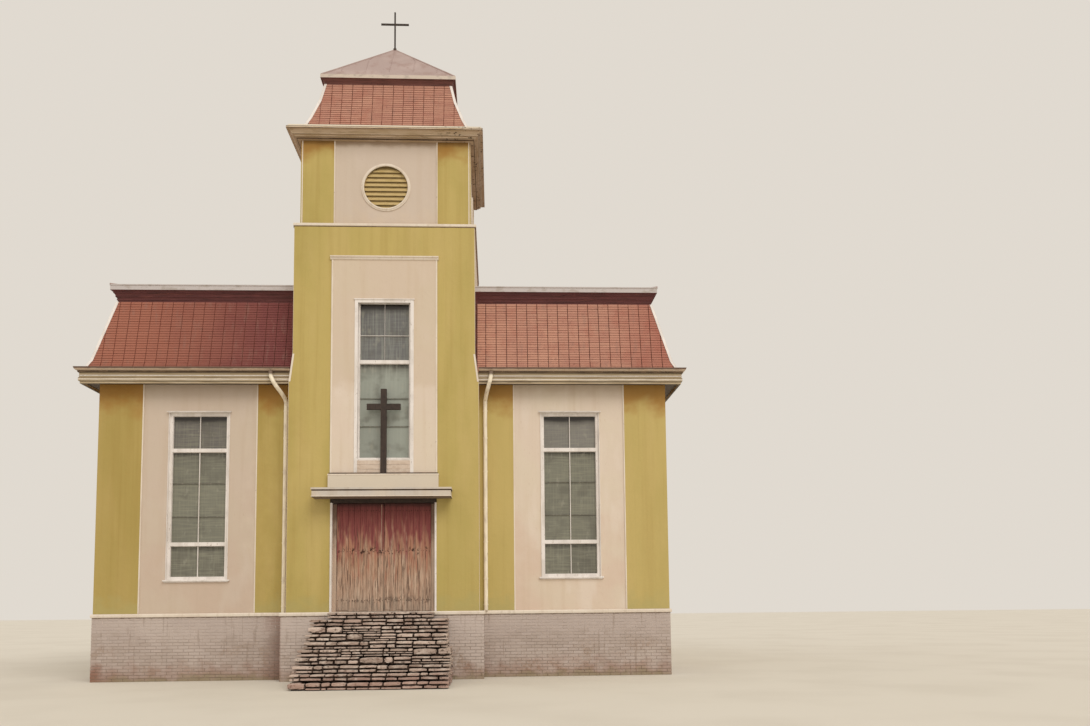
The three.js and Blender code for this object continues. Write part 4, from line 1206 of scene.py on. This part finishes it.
door_boards = weathered_door_boards()
iron = rusty_iron()
nail_shape = bmesh.new()
bmesh.ops.create_cone(
    nail_shape, cap_ends=True, segments=8, radius1=NAIL_RADIUS, radius2=NAIL_RADIUS * 0.6, depth=NAIL_TALL)
nail = mesh_of("nail", nail_shape)
nail.transform(Matrix.Rotation(math.pi / 2, 4, "X"))
for side, seed in (("left", 5), ("right", 6)):
    leaf_low, leaf_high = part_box(f"door_leaf_{side}")
    start = leaf_low.x + (REBATE if side == "left" else 0)
    width = (leaf_high.x - leaf_low.x - REBATE) / BOARDS_A_LEAF
    chance = random.Random(seed)
    boards, heads = bmesh.new(), bmesh.new()
    tone = boards.verts.layers.float.new("tone")
    for i in range(BOARDS_A_LEAF):
        made_before = len(boards.verts)
        foot = leaf_low.z + chance.choice(BOARD_FEET)
        out = BOARD_OUT - chance.uniform(0, 0.004)
        near = (start + i * width + BOARD_GAP, leaf_low.y - out, foot)
        add_box(boards, near, (start + (i + 1) * width - BOARD_GAP, leaf_low.y + 0.004, leaf_high.z), 0.003)
        boards.verts.ensure_lookup_table()
        shade = chance.random()
        for vert in boards.verts[made_before:]:
            vert[tone] = shade
    for level in NAIL_LEVELS:
        take_in(heads, laid(
            f"row_{level}", nail.copy(), iron, Matrix.Translation((start, leaf_low.y - BOARD_OUT, level)),
            columns=2 * BOARDS_A_LEAF, across=width / 2, start=width / 4, loose=(0.012, 0, 0.016),
            seed=int(level * 100) + len(side),
        ))
    settle("door_boards", piece_of(f"door_boards_{side}", boards, door_boards), body=f"door_{side}")
    settle("wrought_iron", piece_of(f"door_nails_{side}", heads, iron), body=f"door_{side}")
meeting = bmesh.new()
leaf_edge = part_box("door_leaf_left")[1].x
low = (leaf_edge - MEETING_BEAD["from"], leaf_low.y - BOARD_OUT - MEETING_BEAD["out"], MEETING_BEAD["low"])
add_box(meeting, low, (leaf_edge - MEETING_BEAD["to"], leaf_low.y, MEETING_BEAD["high"]), 0.003)
settle("door_boards", piece_of("door_meeting_bead", meeting, bare_pine_bead()), body="door_left")
dress(door_boards, "door_leaf_left", "door_leaf_right")
dress(frame_paint_and_shade(), "door_frame")
door_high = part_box("door_frame")[1]
casing = bmesh.new()
for side in (-1, 1):
    x0, x1 = sorted((side * (door_high.x - 0.012), side * (door_high.x + CASING_BOARD)))
    add_box(casing, (x0, tower_low.y - 0.03, FLOOR_LEVEL), (x1, tower_low.y + 0.1, door_high.z), 0.006)
settle("painted_joinery", piece_of("door_casing", casing, paint))

# Over the door
# A rendered slab on the wall with a thin lip, a low block on top of it, and a plain cross of dark oak that
# stands on the block in front of the tower's window.

CANOPY_LIP = [(-0.01, 0.0), (0.012, 0.004), (0.016, 0.012), (0.012, 0.02), (-0.01, 0.024)]
CANOPY_INSET = 0.02
HEAD_BOARD = {"out": 0.034, "below": 0.075, "above": 0.014}


def canopy_render():
    """Smooth render in cream wash, dark where the rain runs off its edges, with a painted shade underneath.
    """
    material, tree = start_material("cream washed render")
    colour = coats(
        tree, "#c9c1b8",
        ("#bdb0a2", patches(tree, 0.15, 0.45, 0.68, 5), 0.5),
        ("#a08c78", patches(tree, 0.05, 0.62, 0.74), 0.4),
        ("#d8c9b4", patches(tree, 0.8, 0.45, 0.6), 0.4),
        ("#d7ccbb", rise(tree, 4.43, 4.45), 0.85),
        # Painted shade on the undersides.
        ("#6b5848", facing(tree, (0, 0, -1)), 0.85),
    )
    return end_material(material, colour, 0.85, relief_of(tree, (uneven(tree, 0.02), 1.0)))


def dark_oak():
    """Oak gone nearly black with oil and weather: open grain along each bar."""
    material, tree = start_material("blackened oak")
    grain = patches(tree, 0.012, 0.35, 0.7, 20, 5)
    colour = coats(tree, "#332822", ("#493a31", grain, 0.6), ("#241c18", patches(tree, 0.1, 0.5, 0.7), 0.6))
    return end_material(material, colour, 0.75, relief_of(tree, (grain, 1.0)))


def round_front(low, high, inset=0.0):
    """The path round a block that stands on the tower's front, from its left side to its right side."""
    left, front, right = low.x + inset, low.y + inset, high.x - inset
    return [(left, tower_low.y), (left, front), (right, front), (right, tower_low.y)]


canopy_low, canopy_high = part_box("door_canopy")
pedestal_low, pedestal_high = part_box("cross_pedestal")
canopy_trim, joint_and_shade_lines, head_board = bmesh.new(), bmesh.new(), bmesh.new()
canopy_path = round_front(canopy_low, canopy_high, CANOPY_INSET)
pedestal_path = round_front(pedestal_low, pedestal_high)
mitred_run(canopy_trim, CANOPY_LIP, canopy_path, level=canopy_low.z + 0.006)
mitred_run(canopy_trim, rounded_band(0.008, 0.0, 0.028, 0.003), pedestal_path, level=pedestal_high.z - 0.03)
low = (pedestal_low.x + 0.01, pedestal_low.y + 0.02, pedestal_high.z - 0.004)
add_box(joint_and_shade_lines, low, (pedestal_high.x - 0.01, pedestal_low.y + 0.03, pedestal_high.z + 0.03), 0.002)
# Painted shadow lines under the canopy's lip and along its foot.
mitred_run(joint_and_shade_lines, joint_shade_line(0.034), canopy_path, level=canopy_high.z - 0.076)
mitred_run(joint_and_shade_lines, joint_shade_line(0.012), canopy_path, level=canopy_low.z)
# The door's head board is near-black oak: a board whose dark also paints the shade under the canopy.
head_half = door_high.x + CASING_BOARD
low = (-head_half, tower_low.y - HEAD_BOARD["out"], door_high.z - HEAD_BOARD["below"])
add_box(head_board, low, (head_half, tower_low.y + 0.06, door_high.z + HEAD_BOARD["above"]), 0.005)
oak = dark_oak()
settle("canopy_render", piece_of("canopy_mouldings", canopy_trim, whitened))
settle("dark_timber", piece_of("canopy_shade_lines", joint_and_shade_lines, shade_and_dirt))
settle("dark_timber", piece_of("door_head_board", head_board, oak))
dress(canopy_render(), "door_canopy", "cross_pedestal")
dress(oak, "facade_cross")

# The eaves
# Boarded and painted: a soffit, a moulded fascia and a half-round zinc gutter on iron straps, all of it worn,
# with dark joints where the boards have opened, and painted shadow lines under the gutter and the beads.

GUTTER_RADIUS, GUTTER_METAL, GUTTER_STEPS = 0.07, 0.004, 8
GUTTER_LIP_OUT, GUTTER_LIP_IN, GUTTER_LIP_TALL = 0.005, 0.008, 0.012
STRAP_WIDTH, STRAP_GAP, STRAP_THICK, STRAP_PITCH, STRAP_START = 0.025, 0.001, 0.004, 0.62, 0.3
EAVES_BEADS = ((0.372, 7.196, 0.012), (0.387, 7.104, 0.01))
EAVES_JOINT_SHADES = ((0.4, 7.274, 0.034), (0.387, 7.138, 0.008), (0.357, 7.058, 0.01))


def fascia_boards():
    """Softwood boards in cream oil paint: dark drip lines, bare and grey along the joints, and a painted
    shade on the soffits.
    """
    material, tree = start_material("cream oil paint on boards")
    colour = coats(
        tree, "#c3b398",
        ("#9b8768", patches(tree, 0.5, 0.42, 0.62, 0.08), 0.7),
        ("#77644f", patches(tree, 0.09, 0.64, 0.75, 0.4), 0.6),
        ("#c0ac8a", patches(tree, 0.9, 0.45, 0.6), 0.6),
        ("#978364", rise(tree, 7.13, 7.16, 0.01), 0.6),
        # Painted shade on the soffits and every face that looks down.
        ("#463b33", facing(tree, (0, 0, -1)), 0.95),
    )
    return end_material(material, colour, 0.65, relief_of(tree, (uneven(tree, 0.3, 0.03), 0.8)))


def painted_zinc(name, wash, shaded_from, shaded_to):
    """Zinc sheet under a thin cream paint, chalked and stained with rust, and dark brown above a given level:
    a painted shade under the tiles and eaves.
    """
    material, tree = start_material(name)
    colour = coats(
        tree, wash,
        ("#c4b6a5", patches(tree, 0.12, 0.45, 0.68, 3), 0.5),
        ("#84694f", patches(tree, 0.06, 0.66, 0.76, 4), 0.5),
        # Painted shade: dark brown above the given level.
        ("#5b4133", rise(tree, shaded_from, shaded_to, 0.006, 0.2), 0.9),
    )
    return end_material(material, colour, 0.5, relief_of(tree, (uneven(tree, 0.05), 0.4)))


def cut_away(mesh, hidden):
    """Takes the corners that a test picks out of a mesh, with the faces on them."""
    shape = bmesh.new()
    shape.from_mesh(mesh)
    bmesh.ops.delete(shape, geom=[vert for vert in shape.verts if hidden(vert.co)], context="VERTS")
    shape.to_mesh(mesh)
    shape.free()


ROUND_WALL = [
    (TOWER_HALF, NAVE_FRONT), (NAVE_HALF, NAVE_FRONT), (NAVE_HALF, NAVE_BACK),
    (-NAVE_HALF, NAVE_BACK), (-NAVE_HALF, NAVE_FRONT), (-TOWER_HALF, NAVE_FRONT),
]
gutter_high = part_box("eaves_gutter")[1]
gutter_out = gutter_high.x - NAVE_HALF - GUTTER_RADIUS - 0.006
gutter_level = gutter_high.z - GUTTER_LIP_TALL
arc = [math.pi + math.pi * i / GUTTER_STEPS for i in range(GUTTER_STEPS + 1)]
outer, inner = (
    [(radius * math.cos(a), radius * math.sin(a)) for a in arc]
    for radius in (GUTTER_RADIUS, GUTTER_RADIUS - GUTTER_METAL)
)
lip_edge, lip_back = GUTTER_RADIUS + GUTTER_LIP_OUT, GUTTER_RADIUS - GUTTER_LIP_IN
lip = [(lip_edge, 0.0), (lip_edge, GUTTER_LIP_TALL), (lip_back, GUTTER_LIP_TALL)]
gutter, strap_shape = bmesh.new(), bmesh.new()
gutter_profile = [(gutter_out + x, z) for x, z in outer + lip + inner[::-1]]
mitred_run(gutter, gutter_profile, ROUND_WALL, level=gutter_level)
zinc = painted_zinc("painted zinc, gutter", "#c2ac96", gutter_level - 0.036, gutter_level - 0.024)
gutter_piece = piece_of("half_round_gutter", gutter, zinc)
settle("gutter_metal", gutter_piece)
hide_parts("eaves_gutter")
strap_inner, strap_outer = GUTTER_RADIUS + STRAP_GAP, GUTTER_RADIUS + STRAP_GAP + STRAP_THICK
strap_section = rectangle(-STRAP_WIDTH / 2, strap_inner, STRAP_WIDTH / 2, strap_outer)
join_rings(strap_shape, [
    [strap_shape.verts.new((x, -radius * math.cos(a), radius * math.sin(a))) for x, radius in strap_section]
    for a in arc
])
strap = mesh_of("strap", strap_shape)
straps = bmesh.new()
for quarter in range(4):
    span = NAVE_HALF if quarter % 2 == 0 else (NAVE_BACK - NAVE_FRONT) / 2
    place = face_of(wall_low, wall_high, quarter) @ Matrix.Translation((0, -gutter_out, gutter_level))
    row = laid(
        f"straps_{quarter}", strap.copy(), iron, place, columns=int(2 * span / STRAP_PITCH),
        across=STRAP_PITCH, start=STRAP_START - span, seed=quarter + 1,
    )
    if quarter == 0:
        cut_away(row.data, lambda at: abs(at.x) < TOWER_HALF + STRAP_WIDTH)
    take_in(straps, row)
settle("gutter_metal", piece_of("gutter_straps", straps, zinc))
fascia_beads, fascia_joint_shades = bmesh.new(), bmesh.new()
for out, level, size in EAVES_BEADS:
    slant = size * 0.7
    round_bead = [(-0.004, -size), (slant, -slant), (size, 0), (slant, slant), (-0.004, size)]
    mitred_run(fascia_beads, [(out + x, z) for x, z in round_bead], ROUND_WALL, level=level)
# Painted shadow lines: under the gutter, and along the fascia and soffit.
for out, level, tall in EAVES_JOINT_SHADES:
    mitred_run(fascia_joint_shades, joint_shade_line(tall, out), ROUND_WALL, level=level)
settle("cornice_boards", piece_of("eaves_beads", fascia_beads, paint))
settle("dark_timber", piece_of("eaves_joint_shades", fascia_joint_shades, shade_and_dirt))
dress(fascia_boards(), "eaves_cornice")

# The nave's mansard roof
# Small flat clay tiles in straight courses of 67 mm with open upright joints, over battens and dark felt.
# Painted boards cap the hips and white flashings close the roof against the tower.

TILE_PITCH, TILE_COURSE = 0.254, 0.067
TILE_WIDTH, TILE_HEIGHT = 0.24, 0.076
TILE_THICK, TILE_LEAN, TILE_EDGE, TILE_LEAST = 0.012, 0.014, 0.003, 0.055
HIP_BOARD, HIP_THICK = 0.03, 0.034
MANSARD_SPROCKET, MANSARD_HEAD = (0.165, 7.59), -0.246


def clay_tiles(name, wing=0.0):
    """Fired clay, unglazed: pink-brown, redder by the right hip, with the tower's shadow painted on in wine
    red beside it on the left, and a painted shade on the faces that look down.
    """
    material, tree = start_material(name)
    beside_tower = rise(tree, -6.2, -2.3, 0.3, 0.6, axis="X")
    on_left = rise(tree, -0.5, -1.0, axis="X")
    in_front = rise(tree, NAVE_FRONT + 5.0, NAVE_FRONT + 1.2, 0.5, axis="Y")
    colour = coats(
        tree, "#bd8b77",
        ("#a87264", tone_of(tree), 0.5),
        ("#c5937d", patches(tree, 0.9, 0.45, 0.65), 0.6),
        ("#ad6d5b", patches(tree, 0.3, 0.5, 0.7), 0.35),
        ("#a05a4b", rise(tree, 5.2, 6.9, 0.2, axis="X"), wing * 0.6),
        ("#9c5e4b", on_left, in_front, wing * 0.85),
        # Painted shadow of the tower on the left wing.
        ("#6a3035", beside_tower, on_left, in_front, wing * 0.85),
        ("#85584b", patches(tree, 0.06, 0.6, 0.75), 0.5),
        ("#93756a", patches(tree, 0.12, 0.55, 0.75, 10), 0.3),
        # Painted shade on the tiles' lower edges and undersides.
        ("#6f3e33", facing(tree, (0, 0, -1)), 0.8),
    )
    return end_material(material, colour, 0.85, relief_of(tree, (uneven(tree, 0.015), 0.8)))


def roofing_felt(name, tarred, dusty):
    """Tarred felt under the tiles: a dark red-brown, dusty with clay, that shows only in the joints."""
    material, tree = start_material(name)
    on_left_wing = rise(tree, -2.0, -3.5, 0.3, axis="X")
    colour = coats(tree, tarred, ("#3c241d", patches(tree, 0.2, 0.4, 0.6), 0.6), (dusty, on_left_wing, 0.8))
    return end_material(material, colour, 0.95)


def slope_points(profile):
    """Running lengths up a slope whose profile is a list of (out, height)."""
    lengths = [0.0]
    for first, second in zip(profile, profile[1:]):
        lengths.append(lengths[-1] + (Vector(second) - Vector(first)).length)
    return lengths


def bend_to_slope(mesh, profile, half):
    """Bends flat courses, drawn upright, to a slope's profile, and trims them to the hips."""
    lengths = slope_points(profile)
    for vert in mesh.vertices:
        x, y, s = vert.co
        part = max(i for i in range(len(profile) - 1) if i == 0 or s > lengths[i])
        low, high = Vector(profile[part]), Vector(profile[part + 1])
        up = (high - low).normalized()
        at = low + up * (s - lengths[part])
        edge = half + at.x
        at += Vector((up.y, -up.x)) * -y
        vert.co = (min(max(x, -edge), edge), -at.x, at.y)


def tiled_slope(name, finish, profile, half, place, left=None, right=None, seed=1):
    """One slope of tiles between its hips, or between a hip and the tower."""
    length = slope_points(profile)[-1]
    rows = round(length / TILE_COURSE)
    foot, head = half + profile[0][0], half + profile[-1][0]
    sides = {"left_foot": -foot, "left_head": -head, "right_foot": foot, "right_head": head}
    if left is not None:
        sides.update(left_foot=left, left_head=left)
    if right is not None:
        sides.update(right_foot=right, right_head=right)
    columns = math.ceil(2 * foot / TILE_PITCH) + 1
    piece = laid(
        name, block(TILE_WIDTH, TILE_HEIGHT, TILE_THICK, TILE_EDGE, TILE_LEAN), finish, columns=columns,
        rows=rows, across=TILE_PITCH, up=length / rows, start=-(columns - 1) * TILE_PITCH / 2,
        reach=TILE_WIDTH / 2 - TILE_LEAST, loose=(0.0015, 0.0015, 0.001), turn=0.005, seed=seed, **sides,
    )
    bend_to_slope(piece.data, profile, half)
    piece.data.transform(place)
    return piece


def hip_boards(shape, profile, half, place):
    """Adds the boards that cap the hips at both ends of one slope."""
    for side in (-1, 1):
        rings = []
        for i, (out, z) in enumerate(profile):
            first, last = Vector(profile[max(i - 1, 0)]), Vector(profile[min(i + 1, len(profile) - 1)])
            up = (last - first).normalized()
            normal = Vector((up.y, -up.x))
            ring = []
            overhang = HIP_THICK / normal.x
            for lift, inset in ((0, 0), (HIP_THICK, -overhang), (HIP_THICK, HIP_BOARD), (0, HIP_BOARD)):
                at = Vector((out, z)) + normal * lift
                ring.append(shape.verts.new(place @ Vector((side * (half + out - inset), -at.x, at.y))))
            rings.append(ring)
        join_rings(shape, rings)


mansard_low, mansard_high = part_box("mansard_rear")
mansard_foot = (mansard_high.y - NAVE_BACK, mansard_low.z)
mansard_profile = [mansard_foot, MANSARD_SPROCKET, (MANSARD_HEAD, mansard_high.z)]
nave_length_half = (NAVE_BACK - NAVE_FRONT) / 2
tiled_edge = TOWER_HALF - 0.03
tiles = clay_tiles("unglazed clay tiles, nave", 1.0)
slopes = (
    ("front_left", 0, {"right": -tiled_edge}), ("front_right", 0, {"left": tiled_edge}),
    ("right", 1, {}), ("rear", 2, {}), ("left", 3, {}),
)
for seed, (name, quarter, edges) in enumerate(slopes, 31):
    half = NAVE_HALF if quarter % 2 == 0 else nave_length_half
    face = face_of(wall_low, wall_high, quarter)
    slope = tiled_slope(f"roof_tiles_{name}", tiles, mansard_profile, half, face, seed=seed, **edges)
    settle("clay_tiles", slope)
hips = bmesh.new()
for quarter in range(4):
    half = NAVE_HALF if quarter % 2 == 0 else nave_length_half
    hip_boards(hips, mansard_profile, half, face_of(wall_low, wall_high, quarter))
settle("cornice_boards", piece_of("hip_boards", hips, paint))
felt = roofing_felt("tarred felt, nave", "#663b31", "#8f5142")
dress(felt, "mansard_front_left", "mansard_front_right", "mansard_left", "mansard_right", "mansard_rear")

# The cap of the mansard and the upper roof
# A coved cornice of dark red boards under a pale fascia. Behind it lies a low hipped roof of painted steel
# sheet with standing seams.

COVE_BEADS = ((9.215, -0.236), (9.29, -0.208), (9.37, -0.171))
SEAM_PITCH, SEAM_WIDTH, SEAM_START, SHEET_LENGTH = 0.6, 0.012, 0.3, 0.35
ROLL_RADIUS, ROLL_BELOW = 0.03, 0.01


def capped_boards(name, change, dark, pale):
    """Painted boards in two colours: a dark red cove below a level, and a pale fascia above it."""
    material, tree = start_material(name)
    above = (change - 0.002, change + 0.002)
    colour = coats(
        tree, dark,
        ("#46221f", patches(tree, 0.5, 0.45, 0.65, 0.08), 0.6),
        ("#7a443d", patches(tree, 0.3, 0.55, 0.7, 0.1), 0.5),
        (pale, rise(tree, *above)),
        ("#a59b92", rise(tree, *above), patches(tree, 0.2, 0.5, 0.7, 0.5), 0.6),
    )
    return end_material(material, colour, 0.7, relief_of(tree, (uneven(tree, 0.3, 0.03), 0.6)))


def roof_sheet():
    """Steel sheet in old red lead paint, faded to a dusty pink, with rust along the seams."""
    material, tree = start_material("faded steel sheet")
    colour = coats(
        tree, "#aa948e",
        ("#b7a29c", patches(tree, 0.8, 0.45, 0.65), 0.7),
        ("#9a7c73", patches(tree, 0.3, 0.5, 0.7, 3), 0.6),
        ("#8a5a48", patches(tree, 0.06, 0.62, 0.75), 0.5),
    )
    return end_material(material, colour, 0.5, relief_of(tree, (uneven(tree, 0.5), 3.0)))


def seams(name, place, foot, head, length, seed, tall=0.028):
    """The standing seams of a slope that narrows from its foot to its head, from a little above its foot."""
    foot += (head - foot) * SEAM_START / length
    length -= SEAM_START
    rows = max(1, round(length / SHEET_LENGTH))
    columns = int(2 * foot / SEAM_PITCH) + 1
    above_foot = place @ Matrix.Translation((0, 0, SEAM_START))
    return laid(
        name, block(SEAM_WIDTH, length / rows, tall, 0.003), sheet, above_foot, columns=columns, rows=rows,
        across=SEAM_PITCH, up=length / rows, start=-(columns - 1) * SEAM_PITCH / 2, left_foot=-foot,
        left_head=-head, right_foot=foot, right_head=head, seed=seed,
    )


def add_rod(shape, start, end, radius, sides=8):
    """Adds a round bar between two points."""
    start, end = Vector(start), Vector(end)
    made = bmesh.ops.create_cone(
        shape, cap_ends=True, segments=sides, radius1=radius, radius2=radius, depth=(end - start).length)
    turn = Vector((0, 0, 1)).rotation_difference(end - start).to_matrix().to_4x4()
    bmesh.ops.transform(shape, matrix=Matrix.Translation((start + end) / 2) @ turn, verts=made["verts"])


sheet = roof_sheet()
upper_low, upper_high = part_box("upper_roof")
upper_half = upper_high.x
upper_deep = (upper_high.y - upper_low.y) / 2
upper_rise = upper_high.z - upper_low.z
ridge_half = upper_deep - upper_half
lean = Matrix.Rotation(-math.atan2(upper_half, upper_rise), 4, "X")
seam_pieces = []
for quarter in range(4):
    across, head = (upper_half, 0.0) if quarter % 2 == 0 else (upper_deep, ridge_half)
    place = face_of(upper_low, upper_high, quarter) @ Matrix.Translation((0, 0, upper_low.z)) @ lean
    length = math.hypot(upper_half, upper_rise)
    seam_pieces.append(seams(f"roof_seams_{quarter}", place, across, head, length, 51 + quarter))
tower_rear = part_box("tower_rear_wall")[1].y
cut_away(seam_pieces[0].data, lambda at: abs(at.x) < TOWER_HALF and at.y < tower_rear)
rolls, coves = bmesh.new(), bmesh.new()
ridge_middle = Vector((0, (upper_low.y + upper_high.y) / 2, upper_high.z - ROLL_BELOW))
ridge = [ridge_middle + Vector((0, y, 0)) for y in (-ridge_half, ridge_half)]
for x in (-upper_half, upper_half):
    for y, ridge_end in zip((upper_low.y, upper_high.y), ridge):
        add_rod(rolls, (x, y, upper_low.z), ridge_end, ROLL_RADIUS)
add_rod(rolls, *ridge, ROLL_RADIUS)
settle("roof_sheet", *seam_pieces, piece_of("roof_rolls", rolls, sheet))
dress(sheet, "upper_roof")
for level, out in COVE_BEADS:
    mitred_run(coves, rectangle(out - 0.02, -0.008, out + 0.014, 0.008), ROUND_WALL, level=level)
dark_red = capped_boards("dark red cove and pale fascia", 9.428, "#602f2f", "#c3bcbb")
settle("cornice_boards", piece_of("cove_beads", coves, dark_red))
dress(dark_red, "mansard_cap")

# The top of the tower
# A stepped cornice of tan boards, a small tiled mansard with a bell-cast foot, a coved cap, a pyramid of
# steel sheet and an iron cross.

TOWER_BENDS, TOWER_ROOF_HEAD = [(1.862, 13.7), (1.668, 14.25)], 1.56
CORNICE_JOINT_SHADES = (
    (2.15, 13.04, 0.03), (2.195, 13.079, 0.007), (2.245, 13.119, 0.008), (2.365, 13.214, 0.018),
    (2.365, 13.258, 0.01),
)
PYRAMID_APEX = 16.594
PYRAMID_SEAM_TALL, PYRAMID_ROLL_RADIUS, PYRAMID_ROLL_HEAD = 0.01, 0.022, 0.03


def tan_boards():
    """Softwood boards in tan paint, gone patchy: dark open joints, rot at the right end, and a painted shade
    on the soffits and on the faces that look right.
    """
    material, tree = start_material("tan painted boards")
    colour = coats(
        tree, "#dfcbb2",
        ("#c4ad8a", patches(tree, 0.8, 0.42, 0.62, 0.3), 0.8),
        ("#8b7352", patches(tree, 0.35, 0.55, 0.7, 0.08), 0.5),
        # Painted shade on the soffits, and on the side that looks right.
        ("#94795f", facing(tree, (0, 0, -1)), 0.6),
        ("#826a52", facing(tree, (1, 0, 0)), 0.7),
        ("#e3d8c6", rise(tree, 13.268, 13.272)),
        ("#3b2a1c", rise(tree, 1.1, 1.7, axis="X"), patches(tree, 0.07, 0.6, 0.66, 0.5)),
        ("#bdae98", patches(tree, 0.15, 0.6, 0.75), 0.4),
    )
    return end_material(material, colour, 0.75, relief_of(tree, (uneven(tree, 0.4, 0.03), 0.8)))


def dark_iron():
    """Forged iron bars, blackened and weathered, with brown rust in the corners."""
    material, tree = start_material("forged iron")
    colour = coats(tree, "#3b3531", ("#58402f", patches(tree, 0.05, 0.5, 0.65), 0.6))
    return end_material(material, colour, 0.6, None, {"Metallic": 0.6})


roof_low, roof_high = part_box("tower_mansard_roof")
pyramid_low, pyramid_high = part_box("tower_pyramid_roof")
roof_middle = (roof_low + roof_high) / 2
pyramid_half, pyramid_rise = pyramid_high.x, PYRAMID_APEX - pyramid_low.z
tower_profile = [(roof_high.x, roof_low.z), *TOWER_BENDS, (TOWER_ROOF_HEAD, roof_high.z)]
tower_clay = clay_tiles("unglazed clay tiles, tower")
lean = Matrix.Rotation(-math.atan2(pyramid_half, pyramid_rise), 4, "X")
tower_hips, pyramid_rolls, cornice_joint_shades = bmesh.new(), bmesh.new(), bmesh.new()
for quarter in range(4):
    turn = Matrix.Translation((roof_middle.x, roof_middle.y, 0)) @ quarter_turn(quarter)
    name = f"tower_tiles_{quarter}"
    settle("clay_tiles", tiled_slope(name, tower_clay, tower_profile, 0.0, turn, seed=61 + quarter))
    hip_boards(tower_hips, tower_profile, 0.0, turn)
    place = face_of(pyramid_low, pyramid_high, quarter) @ Matrix.Translation((0, 0, pyramid_low.z)) @ lean
    length = math.hypot(pyramid_half, pyramid_rise)
    name = f"pyramid_seams_{quarter}"
    settle("roof_sheet", seams(name, place, pyramid_half, 0.0, length, 65 + quarter, PYRAMID_SEAM_TALL))
    head = turn @ Vector((PYRAMID_ROLL_HEAD, -PYRAMID_ROLL_HEAD, pyramid_high.z))
    corner = turn @ Vector((pyramid_half, -pyramid_half, pyramid_low.z))
    add_rod(pyramid_rolls, corner, head, PYRAMID_ROLL_RADIUS)
# Painted shadow lines under the cornice's steps and along its foot.
for out, level, tall in CORNICE_JOINT_SHADES:
    outline = rectangle(roof_middle.x - out, roof_middle.y - out, roof_middle.x + out, roof_middle.y + out)
    mitred_run(cornice_joint_shades, joint_shade_line(tall), outline, closed=True, level=level)
settle("cornice_boards", piece_of("tower_hip_boards", tower_hips, paint))
settle("roof_sheet", piece_of("pyramid_rolls", pyramid_rolls, sheet))
settle("dark_timber", piece_of("cornice_joint_shades", cornice_joint_shades, shade_and_dirt))
dress(roofing_felt("tarred felt, tower", "#955c4d", "#955c4d"), "tower_mansard_roof")
dress(tan_boards(), "tower_cornice")
dress(capped_boards("dark red cove and pale board", 14.868, "#6d423c", "#d0c2b5"), "tower_roof_cap")
dress(sheet, "tower_pyramid_roof")
dress(dark_iron(), "roof_cross")

# The downpipes
# Zinc pipes down the corners beside the tower, in a paler cream paint than the gutter's. Each joint has a
# collar.

PIPE_RADIUS, PIPE_OUT, PIPE_FROM_MIDDLE = 0.048, 0.08, 2.392
COLLAR_LEVELS = (1.70, 2.32, 3.2, 4.02, 4.9, 5.72, 6.38)
COLLAR_TALL, COLLAR_THICK = 0.035, 0.006

collars = bmesh.new()
for side in (-1, 1):
    for level in COLLAR_LEVELS:
        foot = Vector((side * PIPE_FROM_MIDDLE, NAVE_FRONT - PIPE_OUT, level))
        add_rod(collars, foot, foot + Vector((0, 0, COLLAR_TALL)), PIPE_RADIUS + COLLAR_THICK, 16)
pipe_zinc = painted_zinc("painted zinc, pipes", "#f4ead4", 7.17, 7.24)
settle("gutter_metal", piece_of("pipe_collars", collars, pipe_zinc))
dress(pipe_zinc, "downpipe_left", "downpipe_right")

# The camera, the light and the floor
# Stand-ins for the place of the picture: an overcast sky, a soft sun from the front right and pale ground.

CAMERA_PLACE = (2.590, -29.922, 1.736)
CAMERA_YAW, CAMERA_PITCH, CAMERA_ROLL = 0.0516, 0.0906, -0.0100
CAMERA_LENS, CAMERA_SENSOR, CAMERA_SHIFT_Y = 32.805, 36, 0.1375
SUN_STRENGTH, SUN_SPREAD, SUN_HEIGHT, SUN_SIDE = 1.3, 35, 44, 24
SKY_STRENGTH = 0.92
GROUND_HALF = 120.0


def pale_screed():
    """Pale cement screed, a little clouded."""
    material, tree = start_material("pale screed")
    return end_material(material, coats(tree, "#d8d2c6", ("#cdc6b9", patches(tree, 3.0, 0.4, 0.7), 0.5)), 0.9)


scene = bpy.context.scene
camera = bpy.data.objects.new("camera", bpy.data.cameras.new("camera"))
camera.data.lens = CAMERA_LENS
camera.data.sensor_width = CAMERA_SENSOR
camera.data.shift_y = CAMERA_SHIFT_Y
camera.data.clip_end = 500
camera.matrix_world = (
    Matrix.Translation(CAMERA_PLACE) @ Matrix.Rotation(-CAMERA_YAW, 4, "Z")
    @ Matrix.Rotation(math.pi / 2 + CAMERA_PITCH, 4, "X") @ Matrix.Rotation(CAMERA_ROLL, 4, "Z")
)
scene.collection.objects.link(camera)
scene.camera = camera
scene.view_settings.view_transform = "Standard"

sun = bpy.data.objects.new("sun", bpy.data.lights.new("sun", "SUN"))
sun.data.energy = SUN_STRENGTH
sun.data.angle = math.radians(SUN_SPREAD)
sun.data.color = (1.0, 0.96, 0.9)
sun.rotation_euler = (math.radians(SUN_HEIGHT), 0, math.radians(SUN_SIDE))
scene.collection.objects.link(sun)

sky = bpy.data.worlds.new("overcast")
sky.use_nodes = True
background = sky.node_tree.nodes["Background"].inputs
background["Color"].default_value = linear("#e9e2d8")
background["Strength"].default_value = SKY_STRENGTH
scene.world = sky

ground_shape = bmesh.new()
outline = rectangle(-GROUND_HALF, -GROUND_HALF, GROUND_HALF, GROUND_HALF)
ground_shape.faces.new([ground_shape.verts.new((x, y, 0)) for x, y in outline])
piece_of("ground", ground_shape, pale_screed())
